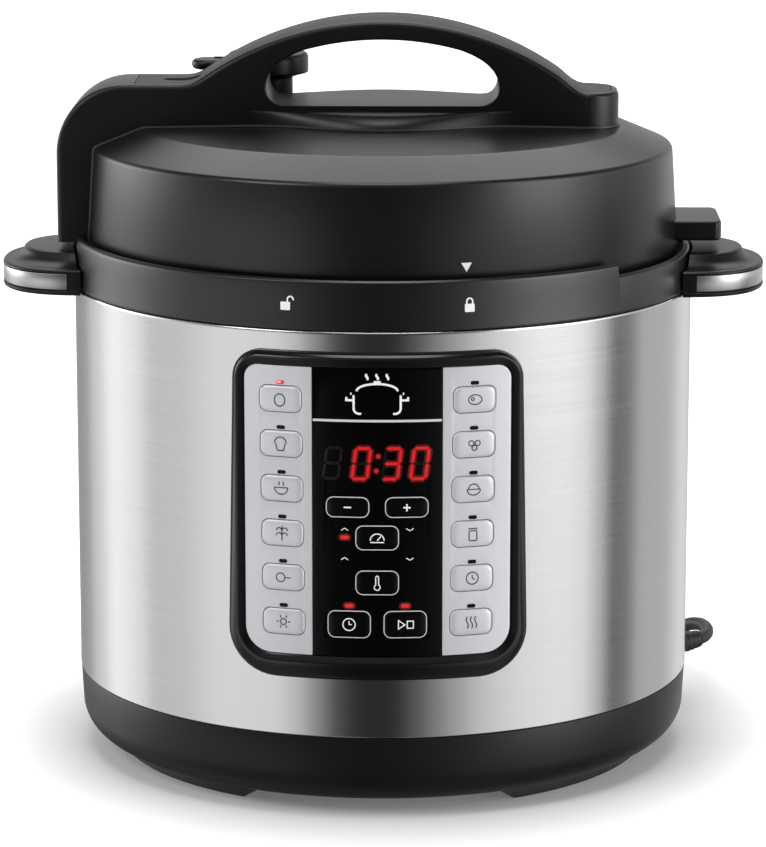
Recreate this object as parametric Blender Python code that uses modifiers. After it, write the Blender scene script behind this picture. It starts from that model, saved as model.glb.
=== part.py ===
"""Electric pressure cooker: round body, bayonet lid with an arched handle, key panel at the front.

Metres, +Z up, front towards -Y, origin on the ground below the body's axis. An azimuth is counted
about the axis from the front, positive towards +X.
"""

from math import atan2, ceil, copysign, cos, degrees, pi, radians, sin

import bmesh
import bpy
from mathutils import Matrix, Vector

MM = 0.001
SEGMENTS = 40
SECTOR_STEP = 7.5  # degrees
GAP = 0.3 * MM  # between pieces that touch

# Body
BODY_R = 135 * MM
SLEEVE_WALL = 0.8 * MM
SLEEVE_BOTTOM = 36 * MM
SLEEVE_TOP = 207 * MM
BASE_FLOOR = 5.6 * MM
BASE_FLOOR_R = 119 * MM
BASE_OPENING_R = 100 * MM
SHELL_WALL = 2.5 * MM

# Collar round the top of the body, with the channel that the lid's skirt stands in
RIM_HIGH = 228 * MM
RIM_LOW = 223 * MM
RIM_R = 134 * MM
RIM_INNER_R = 131.5 * MM
CHANNEL_FLOOR = 213 * MM
CHANNEL_INNER_R = 118.4 * MM
LOW_RIM_FROM, LOW_RIM_TO = 48, 279.5  # azimuths of the stretch where the rim is low

# Pots
HOUSING_R = 116 * MM
HOUSING_WALL = 2 * MM
HOUSING_BOTTOM = 46 * MM
FLANGE_TOP = 225 * MM
FLANGE_R = 118 * MM
HOUSING_LUG_R = 122.5 * MM
POT_R = 111 * MM
POT_WALL = 1 * MM
POT_BOTTOM = 63.8 * MM
POT_RIM = 226 * MM
HEATER_R = 85 * MM
SENSOR_R = 17.5 * MM

# Lid
LID_R = 129 * MM
LID_BOTTOM = 220 * MM
SHOULDER_R, SHOULDER_Z = 127.5 * MM, 265.5 * MM
CROWN_R, CROWN_Z = 105.5 * MM, 275 * MM
LID_TOP = 277 * MM
INNER_LID_R = 125.8 * MM
INNER_LID_WALL = 1.5 * MM
INNER_LID_TOP = 246 * MM
LUG_COUNT = 6
LUG_SPAN = 26  # degrees
LID_LUG_R = 119.4 * MM

# Lid handle, seen from the front
HANDLE_HALF_WIDTH = 21 * MM
ARCH_CENTRE_Z = 186 * MM
ARCH_R = 135.4 * MM
OPENING_HALF = 50 * MM
OPENING_BOTTOM, OPENING_TOP = 285 * MM, 313.3 * MM
ARM_TOP = 294 * MM
ARM_BOTTOM = 225.3 * MM
ARM_X = -141 * MM
ARM_CORNER_R = 30 * MM
HANDLE_END_X = 102.3 * MM
HANDLE_END_TOP = 290.5 * MM
INLAY_HALF_WIDTH = 17.5 * MM
INLAY_DEPTH = 2 * MM
VALVE_X, VALVE_Y = -52 * MM, 42 * MM
FLOAT_X = -87 * MM

# Side handles
GRIP_X, GRIP_HALF_X, GRIP_HALF_Y = 129 * MM, 37.8 * MM, 41 * MM
GRIP_POWER = 0.84  # 1 would be an ellipse; less is squarer
GRIP_BOTTOM, GRIP_TOP = 205 * MM, 216 * MM
GRIP_BLOCK_TOP, GRIP_BLOCK_INSET = 222 * MM, 9 * MM
TRIM_BOTTOM, TRIM_TOP, TRIM_WALL = 207.5 * MM, 214.6 * MM, 1.2 * MM

# Panel
BEZEL_R = 137.8 * MM
FASCIA_R, FASCIA_INNER_R = 136.6 * MM, 134.8 * MM
BEZEL_BOTTOM, BEZEL_TOP, BEZEL_SPAN = 61.1 * MM, 198.7 * MM, 26.6
BEZEL_TAPER = 0.345  # share by which the bezel is wider for each metre below its middle
FACE_BOTTOM, FACE_TOP, FACE_SPAN = 71 * MM, 192.8 * MM, 24.27
WINDOW_SPAN = 11.25
KEY_R, KEY_INNER_R = 137.3 * MM, 133.2 * MM
KEY_CORNER = 3.2 * MM
SIDE_KEY_AZIMUTH, SIDE_KEY_STEP = 16.93, 0.096  # the top row, and how much nearer each row below is
SIDE_KEY_SIZE = (18.0 * MM, 10.8 * MM)
SIDE_KEY_TOP_Z, SIDE_KEY_PITCH = 178.7 * MM, 18.76 * MM
CENTRE_KEYS = {  # azimuth, height of the centre, width, height
    "key_minus": (-5.1, 134.6 * MM, 18.0 * MM, 8.8 * MM),
    "key_plus": (5.1, 134.6 * MM, 18.0 * MM, 8.8 * MM),
    "key_pressure": (0, 121.8 * MM, 18.0 * MM, 10.5 * MM),
    "key_temperature": (0, 102.8 * MM, 18.0 * MM, 10.5 * MM),
    "key_delay": (-4.85, 85.1 * MM, 18.0 * MM, 11.7 * MM),
    "key_start": (4.85, 85.1 * MM, 18.0 * MM, 11.7 * MM),
}

# Cord: the boot curves back from the base, the cord lies behind it and ends in a coil and a plug
CORD_D = 6.2 * MM
CORD_ANGLE = 25  # degrees from +X towards +Y
RELIEF_Z = 23.8 * MM
RELIEF_ROUTE = [  # millimetres, with the radius at each point
    (113.3, 52.8, 23.8, 8.0), (115.8, 54.0, 23.8, 8.0), (116.6, 54.4, 23.8, 6.2), (126.4, 58.9, 23.8, 6.2),
    (133.2, 62.4, 23.8, 6.1), (139.2, 66.6, 23.7, 5.8), (143.2, 70.6, 23.5, 5.0), (145.4, 73.2, 23.3, 4.0),
]
CORD_ROUTE = [  # millimetres
    (145.9, 73.9, 23.3), (148.8, 78.6, 23.1), (150.6, 84.4, 23.0), (151.2, 91.0, 23.0),
    (150.5, 97.6, 23.0), (148.4, 104.2, 22.4), (144.9, 110.3, 20.8), (140.7, 116.0, 18.0),
    (136.1, 121.6, 14.4), (131.2, 127.2, 10.6), (126.3, 133.0, 7.3), (121.9, 139.2, 4.9),
]
COIL_CENTRE = (78 * MM, 162 * MM)
COIL_MEAN_R = 31 * MM
COIL_HALF_WIDTH = 6.3 * MM
COIL_HEIGHT = 12.5 * MM


def clear_scene():
    for obj in list(bpy.data.objects):
        bpy.data.objects.remove(obj, do_unlink=True)
    for name in ("Pressure cooker", "Cutters"):
        collection = bpy.data.collections.new(name)
        bpy.context.scene.collection.children.link(collection)
    return bpy.data.collections["Pressure cooker"], bpy.data.collections["Cutters"]


PARTS, CUTTERS = clear_scene()


def material(name, colour, roughness, metallic=0.0):
    made = bpy.data.materials.new(name)
    made.use_nodes = True
    shader = made.node_tree.nodes["Principled BSDF"]
    shader.inputs["Base Color"].default_value = (*colour, 1)
    shader.inputs["Roughness"].default_value = roughness
    shader.inputs["Metallic"].default_value = metallic
    made.diffuse_color = (*colour, 1)
    return made


BLACK = material("black_plastic", (0.018, 0.018, 0.019), 0.45)
SOFT_BLACK = material("soft_black", (0.03, 0.03, 0.03), 0.8)
GLOSS_BLACK = material("gloss_black", (0.008, 0.008, 0.009), 0.08)
STEEL = material("brushed_steel", (0.62, 0.62, 0.61), 0.3, 1.0)
POLISHED = material("polished_steel", (0.72, 0.72, 0.71), 0.15, 1.0)
ALUMINIUM = material("aluminium", (0.66, 0.67, 0.68), 0.4, 1.0)
SILVER = material("silver_film", (0.55, 0.56, 0.58), 0.38, 0.7)
SILICONE = material("silicone", (0.82, 0.82, 0.8), 0.5)
CLEAR = material("clear_plastic", (0.75, 0.76, 0.78), 0.2)
BOARD = material("circuit_board", (0.05, 0.22, 0.09), 0.5)
RED = material("red_display", (0.35, 0.01, 0.01), 0.2)


def finished(obj, name, surface):
    """Name an object, give it its material and put it with the parts."""
    obj.name = name
    obj.data.name = name
    obj.data.materials.clear()
    obj.data.materials.append(surface)
    if obj.type == "MESH":
        obj.data.shade_smooth()
        obj.data.set_sharp_from_angle(angle=radians(35))
    return obj


def new_mesh(name, build):
    """A mesh object whose shape the function build makes in an empty bmesh."""
    shape = bmesh.new()
    build(shape)
    data = bpy.data.meshes.new(name)
    shape.to_mesh(data)
    shape.free()
    obj = bpy.data.objects.new(name, data)
    PARTS.objects.link(obj)
    return obj


def turned(name, profile, surface, centre=(0, 0), segments=SEGMENTS, closed=True):
    """A profile of (radius, height) turned about a vertical axis, listed down its outer side."""

    def build(shape):
        points = [shape.verts.new((radius, 0, height)) for radius, height in profile]
        for first, second in zip(points, points[1:]):
            shape.edges.new((first, second))
        if closed:
            shape.edges.new((points[-1], points[0]))

    obj = new_mesh(name, build)
    obj.location = (*centre, 0)
    screw = obj.modifiers.new("turn", "SCREW")
    screw.steps = screw.render_steps = segments
    screw.use_merge_vertices = True
    screw.merge_threshold = 1e-6
    return finished(obj, name, surface)


def as_mesh(obj):
    """The object as its modifiers leave it, made a welded mesh in the same place."""
    bpy.context.view_layer.update()
    graph = bpy.context.evaluated_depsgraph_get()
    data = bpy.data.meshes.new_from_object(obj.evaluated_get(graph))
    shape = bmesh.new()
    shape.from_mesh(data)
    bmesh.ops.remove_doubles(shape, verts=shape.verts, dist=1e-6)
    bmesh.ops.recalc_face_normals(shape, faces=shape.faces)
    shape.to_mesh(data)
    shape.free()
    made = bpy.data.objects.new(obj.name, data)
    made.matrix_world = obj.matrix_world.copy()
    PARTS.objects.link(made)
    bpy.data.objects.remove(obj, do_unlink=True)
    return made


def slab(name, outline, low, high, surface=BLACK, turn=(0, 0, 0), place=(0, 0, 0)):
    """A flat outline, extruded between two heights of its own axis, then turned and placed."""
    curve = bpy.data.curves.new(name, "CURVE")
    curve.dimensions = "2D"
    curve.fill_mode = "BOTH"
    curve.extrude = (high - low) / 2
    spline = curve.splines.new("POLY")
    spline.points.add(len(outline) - 1)
    for point, (x, y) in zip(spline.points, outline):
        point.co = (x, y, 0, 1)
    spline.use_cyclic_u = True
    obj = bpy.data.objects.new(name, curve)
    rotation = Matrix.Rotation(turn[2], 4, "Z") @ Matrix.Rotation(turn[0], 4, "X")
    obj.matrix_world = Matrix.Translation(place) @ rotation @ Matrix.Translation((0, 0, (low + high) / 2))
    PARTS.objects.link(obj)
    return finished(as_mesh(obj), name, surface)


def upright(name, outline, near, far, surface=BLACK):
    """A slab whose outline is (x, z), standing between two depths in y."""
    return slab(name, outline, -far, -near, surface, turn=(pi / 2, 0, 0))


def facing(name, outline, azimuth, inner, outer, surface=BLACK):
    """A slab whose outline is (across, z), facing outwards between two radii at an azimuth."""
    turn = (pi / 2, 0, radians(azimuth))
    return slab(name, outline, inner, outer, surface, turn=turn)


def box(name, low, high, surface=BLACK):
    def build(shape):
        bmesh.ops.create_cube(shape, size=1)

    obj = new_mesh(name, build)
    size = [b - a for a, b in zip(low, high)]
    obj.data.transform(Matrix.Diagonal((*size, 1)))
    obj.location = [(a + b) / 2 for a, b in zip(low, high)]
    return finished(obj, name, surface)


def rod(name, start, end, radius, surface=BLACK, segments=20):
    """A round bar from one point to another."""
    start, end = Vector(start), Vector(end)

    def build(shape):
        bmesh.ops.create_cone(
            shape, cap_ends=True, segments=segments, radius1=radius, radius2=radius, depth=(end - start).length
        )

    obj = new_mesh(name, build)
    along = (end - start).to_track_quat("Z", "Y").to_matrix().to_4x4()
    obj.matrix_world = Matrix.Translation((start + end) / 2) @ along
    return finished(obj, name, surface)


def combine(obj, other, operation):
    """Apply a Boolean of one object on another and put the second among the cutters."""
    PARTS.objects.unlink(other)
    CUTTERS.objects.link(other)
    other.hide_render = True
    other.display_type = "WIRE"
    other.name = f"{obj.name}_{operation.lower()}_{len(obj.modifiers)}"
    modifier = obj.modifiers.new(operation.title(), "BOOLEAN")
    modifier.operation = operation
    modifier.object = other
    return obj


def cut(obj, *others):
    for other in others:
        combine(obj, other, "DIFFERENCE")
    return obj


def join(obj, *others):
    for other in others:
        combine(obj, other, "UNION")
    return obj


def keep(obj, other):
    return combine(obj, other, "INTERSECT")


def at(radius, azimuth):
    """The plan position at a radius and an azimuth from the front."""
    return radius * sin(radians(azimuth)), -radius * cos(radians(azimuth))


def arc(centre, radius, start, end, steps, tall=1.0):
    """Points round a circle between two angles in degrees, or round an ellipse when tall isn't 1."""
    angles = [radians(start + (end - start) * step / steps) for step in range(steps + 1)]
    return [(centre[0] + radius * cos(a), centre[1] + radius * tall * sin(a)) for a in angles]


def sector(inner, outer, start, end):
    """The plan outline of a stretch of ring between two azimuths."""
    count = max(1, ceil((end - start) / SECTOR_STEP))
    turns = [start + (end - start) * i / count for i in range(count + 1)]
    return [at(outer, turn) for turn in turns] + [at(inner, turn) for turn in reversed(turns)]


def rounded(low_x, high_x, low_y, high_y, top, bottom=None, steps=3):
    """A rectangle with its upper and lower corners rounded."""
    bottom = top if bottom is None else bottom
    corners = (
        (high_x - top, high_y - top, top, 0),
        (low_x + top, high_y - top, top, 90),
        (low_x + bottom, low_y + bottom, bottom, 180),
        (high_x - bottom, low_y + bottom, bottom, 270),
    )
    return [p for x, y, r, turn in corners for p in arc((x, y), r, turn, turn + 90, steps)]


def lid_profile(outward=0.0):
    """The lid's outer line from the centre of its top down to its edge, grown outwards."""
    return [
        (0, LID_TOP + outward),
        (CROWN_R, CROWN_Z + outward),
        (SHOULDER_R - 3 * MM + 0.4 * outward, SHOULDER_Z + 1.6 * MM + 0.9 * outward),
        (SHOULDER_R - 0.8 * MM + 0.7 * outward, SHOULDER_Z + 0.3 * MM + 0.7 * outward),
        (SHOULDER_R + outward, SHOULDER_Z - 2.5 * MM),
        (LID_R + outward, LID_BOTTOM),
    ]


def make_base():
    curve = arc((BASE_FLOOR_R, 20 * MM), 15 * MM, 0, -90, 4, tall=(20 * MM - BASE_FLOOR) / (15 * MM))
    inner = arc(
        (BASE_FLOOR_R, 20 * MM), 15 * MM - SHELL_WALL, -90, 0, 3,
        tall=(20 * MM - BASE_FLOOR - SHELL_WALL) / (15 * MM - SHELL_WALL),
    )
    top = SLEEVE_BOTTOM - GAP
    profile = [(BODY_R - 0.2 * MM, top)] + curve + [(BASE_OPENING_R, BASE_FLOOR)]
    profile += [(BASE_OPENING_R, BASE_FLOOR + SHELL_WALL)] + inner + [(BODY_R - 0.2 * MM - SHELL_WALL, top)]
    base = turned("base_shell", profile, BLACK)
    cord_turn = radians(CORD_ANGLE)
    hole = [(radius * cos(cord_turn), radius * sin(cord_turn), RELIEF_Z) for radius in (120 * MM, 145 * MM)]
    cut(base, rod("relief_hole", *hole, 6.6 * MM))
    turned(
        "bottom_cover",
        [(0, BASE_FLOOR + SHELL_WALL), (BASE_OPENING_R - GAP, BASE_FLOOR + SHELL_WALL),
         (BASE_OPENING_R - GAP, BASE_FLOOR + 0.5 * MM), (0, BASE_FLOOR + 0.5 * MM)],
        BLACK, closed=False,
    )


def make_feet():
    """Four arched pads; the ends of each slope in towards the ground."""
    places = {"foot_front_right": 28, "foot_front_left": -80, "foot_rear_right": 100, "foot_rear_left": -152}
    for name, start in places.items():
        upper = slab(name, sector(108 * MM, 118 * MM, start, start + 52), 2.5 * MM, BASE_FLOOR - GAP, SOFT_BLACK)
        lower = slab("tread", sector(108.5 * MM, 117.5 * MM, start + 1.5, start + 50.5), 0, 3 * MM)
        join(upper, lower)


def make_sleeve():
    inner = BODY_R - SLEEVE_WALL
    sleeve = turned(
        "outer_shell",
        [(BODY_R, SLEEVE_TOP), (BODY_R, SLEEVE_BOTTOM), (inner, SLEEVE_BOTTOM), (inner, SLEEVE_TOP)],
        STEEL,
    )
    half = BODY_R * sin(radians(FACE_SPAN + 0.5))
    opening = rounded(-half, half, FACE_BOTTOM - 1.5 * MM, FACE_TOP + 1.5 * MM, 6 * MM, 12 * MM)
    cut(sleeve, upright("panel_opening", opening, -150 * MM, -90 * MM))
    cut(sleeve, box("cup_opening", (-34 * MM, 100 * MM, 156.5 * MM), (34 * MM, 150 * MM, 203.5 * MM)))


def make_collar():
    collar = turned(
        "collar",
        [
            (RIM_R - 0.8 * MM, RIM_HIGH), (RIM_R, RIM_HIGH - 1 * MM), (BODY_R + 0.3 * MM, SLEEVE_TOP + GAP),
            (130.5 * MM, SLEEVE_TOP + GAP), (130.5 * MM, CHANNEL_FLOOR - SHELL_WALL),
            (117 * MM, CHANNEL_FLOOR - SHELL_WALL), (117 * MM, CHANNEL_FLOOR + 2 * MM),
            (CHANNEL_INNER_R, CHANNEL_FLOOR + 2 * MM), (CHANNEL_INNER_R, CHANNEL_FLOOR),
            (RIM_INNER_R, CHANNEL_FLOOR), (RIM_INNER_R, RIM_HIGH),
        ],
        BLACK,
    )
    low = slab("low_rim", sector(128 * MM, 140 * MM, LOW_RIM_FROM, LOW_RIM_TO), RIM_LOW, 232 * MM)
    drain = rod("drain", (0, 124.5 * MM, 200 * MM), (0, 124.5 * MM, 220 * MM), 3 * MM, segments=12)
    cut(collar, low, drain)


def make_side_handles():
    """An oval grip on each side with a raised top and a steel trim let into its edge."""

    def oval(less, steps=28):
        turns = arc((0, 0), 1, 180 / steps, 180 / steps + 360 * (1 - 1 / steps), steps - 1)
        return [(GRIP_X + copysign(abs(x) ** GRIP_POWER, x) * (GRIP_HALF_X - less),
                 copysign(abs(y) ** GRIP_POWER, y) * (GRIP_HALF_Y - less)) for x, y in turns]

    def clear_of_body(obj, radius):
        wall = [(0, 240 * MM), (radius, 240 * MM), (radius, 190 * MM), (0, 190 * MM)]
        return cut(obj, turned("body_clearance", wall, BLACK, closed=False))

    for side, turn in (("left", pi), ("right", 0)):
        def plate(name, less, low, high, surface=BLACK):
            return slab(name, oval(less), low, high, surface, turn=(0, 0, turn))

        handle = plate(f"side_handle_{side}", TRIM_WALL + GAP, GRIP_BOTTOM + 1 * MM, GRIP_TOP - 0.5 * MM)
        join(handle, plate("lower_plate", 0, GRIP_BOTTOM, TRIM_BOTTOM - GAP))
        join(handle, plate("upper_plate", 0, TRIM_TOP + GAP, GRIP_TOP))
        join(handle, plate("raised_top", GRIP_BLOCK_INSET, GRIP_TOP - 4 * MM, GRIP_BLOCK_TOP))
        clear_of_body(handle, BODY_R + 0.6 * MM)

        trim = plate(f"handle_trim_{side}", 0, TRIM_BOTTOM, TRIM_TOP, STEEL)
        cut(trim, plate("trim_core", TRIM_WALL, 200 * MM, 220 * MM))
        clear_of_body(trim, BODY_R + 1.2 * MM)


def lug_gaps(inner, outer, low, high):
    """One cutter with a stretch of ring for each gap between the bayonet lugs."""
    pitch = 360 / LUG_COUNT
    first = None
    for number in range(LUG_COUNT):
        start = number * pitch + LUG_SPAN / 2
        piece = slab("lug_gap", sector(inner, outer, start, start + pitch - LUG_SPAN), low, high)
        if first is None:
            first = piece
        else:
            join(first, piece)
    return first


def make_pots():
    wall_inner = HOUSING_R - HOUSING_WALL
    corner = arc((HOUSING_R - 14 * MM, HOUSING_BOTTOM + 14 * MM), 14 * MM, 0, -90, 2)
    inner_corner = arc((HOUSING_R - 14 * MM, HOUSING_BOTTOM + 14 * MM), 12 * MM, -90, 0, 2)
    profile = [(HOUSING_LUG_R, FLANGE_TOP), (HOUSING_LUG_R, FLANGE_TOP - 3 * MM),
               (HOUSING_R, FLANGE_TOP - 3 * MM)]
    profile += corner + [(30 * MM, HOUSING_BOTTOM), (30 * MM, HOUSING_BOTTOM + 2 * MM)]
    profile += inner_corner + [(wall_inner, FLANGE_TOP)]
    housing = turned("outer_pot", profile, ALUMINIUM)
    cut(housing, lug_gaps(FLANGE_R, 126 * MM, FLANGE_TOP - 5 * MM, FLANGE_TOP + 2 * MM))

    corner = arc((POT_R - 12 * MM, POT_BOTTOM + 12 * MM), 12 * MM, 0, -90, 3)
    inner_corner = arc((POT_R - 12 * MM, POT_BOTTOM + 12 * MM), 11 * MM, -90, 0, 3)
    profile = [(0, POT_BOTTOM + POT_WALL)] + inner_corner + [(POT_R - POT_WALL, POT_RIM)]
    profile += [(POT_R + 2 * MM, POT_RIM), (POT_R + 2 * MM, POT_RIM - 1.5 * MM), (POT_R, POT_RIM - 3 * MM)]
    profile += corner + [(0, POT_BOTTOM)]
    turned("inner_pot", profile, POLISHED, closed=False)


def make_heater():
    top = POT_BOTTOM - GAP
    turned(
        "heating_plate",
        [(HEATER_R - 3 * MM, top), (HEATER_R, top - 3 * MM), (HEATER_R, top - 10 * MM),
         (SENSOR_R + 2 * MM, top - 10 * MM), (SENSOR_R + 2 * MM, top)],
        ALUMINIUM, segments=32,
    )
    turned(
        "temperature_sensor",
        [(0, top), (SENSOR_R - 1 * MM, top), (SENSOR_R, top - 1 * MM), (SENSOR_R, top - 7 * MM),
         (6 * MM, top - 7 * MM), (6 * MM, 40 * MM), (0, 40 * MM)],
        ALUMINIUM, segments=24, closed=False,
    )


def make_electronics():
    power = box("power_board", (-60 * MM, -72 * MM, 13 * MM), (30 * MM, -20 * MM, 14.6 * MM), BOARD)
    join(power, box("transformer", (-52 * MM, -62 * MM, 14 * MM), (-24 * MM, -34 * MM, 36 * MM)))
    join(power, box("relay", (-8 * MM, -64 * MM, 14 * MM), (20 * MM, -48 * MM, 30 * MM)))
    switch = box("pressure_switch", (34 * MM, -10 * MM, 24 * MM), (64 * MM, 10 * MM, 42 * MM))
    join(switch, rod("plunger", (49 * MM, 0, 40 * MM), (49 * MM, 0, 45.7 * MM), 2.5 * MM, segments=12))
    box("control_board", (-48 * MM, -122.6 * MM, 74 * MM), (48 * MM, -121 * MM, 190 * MM), BOARD)
    box("display_module", (-24 * MM, -132 * MM, 142 * MM), (24 * MM, -122.9 * MM, 162 * MM), RED)


def key_places():
    """Every key: its name, azimuth, height of its centre, width and height."""
    places = {}
    for side, sign in (("left", -1), ("right", 1)):
        for row in range(6):
            azimuth = sign * (SIDE_KEY_AZIMUTH - row * SIDE_KEY_STEP)
            height = SIDE_KEY_TOP_Z - row * SIDE_KEY_PITCH
            places[f"key_{side}_{row + 1}"] = (azimuth, height, *SIDE_KEY_SIZE)
    return {**places, **CENTRE_KEYS}


def key_outline(height, width, tall, grow=0.0):
    half = width / 2 + grow
    return rounded(-half, half, height - tall / 2 - grow, height + tall / 2 + grow, KEY_CORNER, steps=2)


def make_panel():
    """The bezel, the two key strips and the window, each with the holes that its keys stand in."""

    def curved(name, inner, outer, start, end, surface):
        return slab(name, sector(inner, outer, start, end), 55 * MM, 205 * MM, surface)

    def framed(obj, span, radius, low, high, top, bottom, use, taper=0.0):
        half, middle = radius * sin(radians(span)), (low + high) / 2
        outline = [(x * (1 + taper * (middle - z)), z)
                   for x, z in rounded(-half, half, low, high, top, bottom, steps=4)]
        return use(obj, upright("frame", outline, -150 * MM, -90 * MM))

    bezel = curved("panel_bezel", BODY_R + GAP, BEZEL_R, -30, 30, BLACK)
    framed(bezel, BEZEL_SPAN, BEZEL_R, BEZEL_BOTTOM, BEZEL_TOP, 12 * MM, 20 * MM, keep, BEZEL_TAPER)
    framed(bezel, FACE_SPAN, BODY_R, FACE_BOTTOM, FACE_TOP, 6 * MM, 11 * MM, cut)

    stretches = {
        "panel_strip_left": (-25, -WINDOW_SPAN - 0.15, SILVER),
        "panel_window": (-WINDOW_SPAN, WINDOW_SPAN, GLOSS_BLACK),
        "panel_strip_right": (WINDOW_SPAN + 0.15, 25, SILVER),
    }
    for name, (start, end, surface) in stretches.items():
        piece = curved(name, FASCIA_INNER_R, FASCIA_R, start, end, surface)
        framed(piece, FACE_SPAN - 0.3, BODY_R, FACE_BOTTOM + GAP, FACE_TOP - GAP, 6 * MM, 11 * MM, keep)
        for azimuth, height, width, tall in key_places().values():
            if start < azimuth < end:
                outline = key_outline(height, width, tall, grow=GAP)
                cut(piece, facing("key_hole", outline, azimuth, 125 * MM, 145 * MM))
    for name, (azimuth, height, width, tall) in key_places().items():
        surface = SILVER if abs(azimuth) > WINDOW_SPAN else GLOSS_BLACK
        facing(name, key_outline(height, width, tall), azimuth, KEY_INNER_R, KEY_R, surface)


def make_condensation_cup():
    """A tray that slides out of a niche at the rear, below the collar's drain hole."""
    niche = box("cup_niche", (-33.5 * MM, 117.5 * MM, 157 * MM), (33.5 * MM, 130.2 * MM, 203 * MM), BLACK)
    cut(niche, box("niche_space", (-32 * MM, 119 * MM, 158.5 * MM), (32 * MM, 140 * MM, 201.5 * MM)))
    cut(niche, rod("drip_hole", (0, 124.5 * MM, 200 * MM), (0, 124.5 * MM, 205 * MM), 3 * MM, segments=12))
    cup = box("condensation_cup", (-31 * MM, 119.5 * MM, 159 * MM), (31 * MM, 142.4 * MM, 200 * MM), CLEAR)
    cut(cup, box("cup_space", (-29.4 * MM, 121.1 * MM, 160.6 * MM), (29.4 * MM, 140.8 * MM, 210 * MM)))


def make_lid():
    outer = lid_profile()
    inner = [(INNER_LID_R + 0.8 * MM, LID_BOTTOM), (SHOULDER_R - SHELL_WALL, SHOULDER_Z - 3.5 * MM),
             (CROWN_R - 1 * MM, CROWN_Z - SHELL_WALL), (0, LID_TOP - SHELL_WALL)]
    cover = turned("lid_cover", outer + inner, BLACK, closed=False)
    tab = [(127.5 * MM, -21 * MM), (145 * MM, -21 * MM), (147 * MM, -19 * MM),
           (147 * MM, 19 * MM), (145 * MM, 21 * MM), (127.5 * MM, 21 * MM)]
    join(cover, slab("tab", tab, 226.7 * MM, 235.2 * MM))
    cut(cover, rod("valve_hole", (VALVE_X, VALVE_Y, 260 * MM), (VALVE_X, VALVE_Y, 290 * MM), 8 * MM))
    cut(cover, rod("float_hole", (FLOAT_X, 0, 260 * MM), (FLOAT_X, 0, 290 * MM), 4 * MM, segments=12))

    wall = INNER_LID_WALL
    dish = turned(
        "inner_lid",
        [(0, INNER_LID_TOP), (98 * MM, INNER_LID_TOP), (122.6 * MM, 240.4 * MM),
         (INNER_LID_R, 237 * MM), (INNER_LID_R, 216 * MM), (INNER_LID_R - wall, 216 * MM),
         (INNER_LID_R - wall, 218.3 * MM), (LID_LUG_R, 218.3 * MM), (LID_LUG_R, 220.8 * MM),
         (INNER_LID_R - wall, 220.8 * MM), (INNER_LID_R - wall, 236.4 * MM), (122.3 * MM, 239 * MM),
         (97.8 * MM, INNER_LID_TOP - wall), (0, INNER_LID_TOP - wall)],
        POLISHED, closed=False,
    )
    cut(dish, lug_gaps(118 * MM, INNER_LID_R - wall - 0.4 * MM, 217 * MM, 222 * MM))
    cut(dish, rod("pipe_hole", (VALVE_X, VALVE_Y, 235 * MM), (VALVE_X, VALVE_Y, 255 * MM), 5.5 * MM))
    cut(dish, rod("pin_hole", (FLOAT_X, 0, 235 * MM), (FLOAT_X, 0, 255 * MM), 4 * MM, segments=12))

    turned(
        "sealing_ring",
        [(121 * MM, 235.5 * MM), (121 * MM, 230 * MM), (116 * MM, 226.6 * MM), (108 * MM, 229.5 * MM),
         (115.5 * MM, 229.5 * MM), (118 * MM, 235.5 * MM)],
        SILICONE,
    )
    wire = reversed(arc((113 * MM, 233.6 * MM), 1.4 * MM, 45, 315, 3))
    turned("ring_rack", list(wire), POLISHED)


def handle_top():
    """The top line of the lid handle, from the left arm over the arch to the right end."""
    arch = arc((0, ARCH_CENTRE_Z), ARCH_R, 124.4, 55.6, 18)
    left = [(-107.5 * MM, ARM_TOP), (-86 * MM, ARM_TOP), (-81 * MM, ARM_TOP + 0.9 * MM)]
    right = [(82 * MM, 293.4 * MM), (88 * MM, HANDLE_END_TOP + 0.4 * MM), (92 * MM, HANDLE_END_TOP)]
    return left + arch + right


def offset_down(line, depth):
    """A line moved inwards by a depth, square to itself."""
    moved = []
    for number, point in enumerate(line):
        before, after = line[max(0, number - 1)], line[min(len(line) - 1, number + 1)]
        along = Vector((after[0] - before[0], after[1] - before[1])).normalized()
        moved.append((point[0] + along.y * depth, point[1] - along.x * depth))
    return moved


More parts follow.
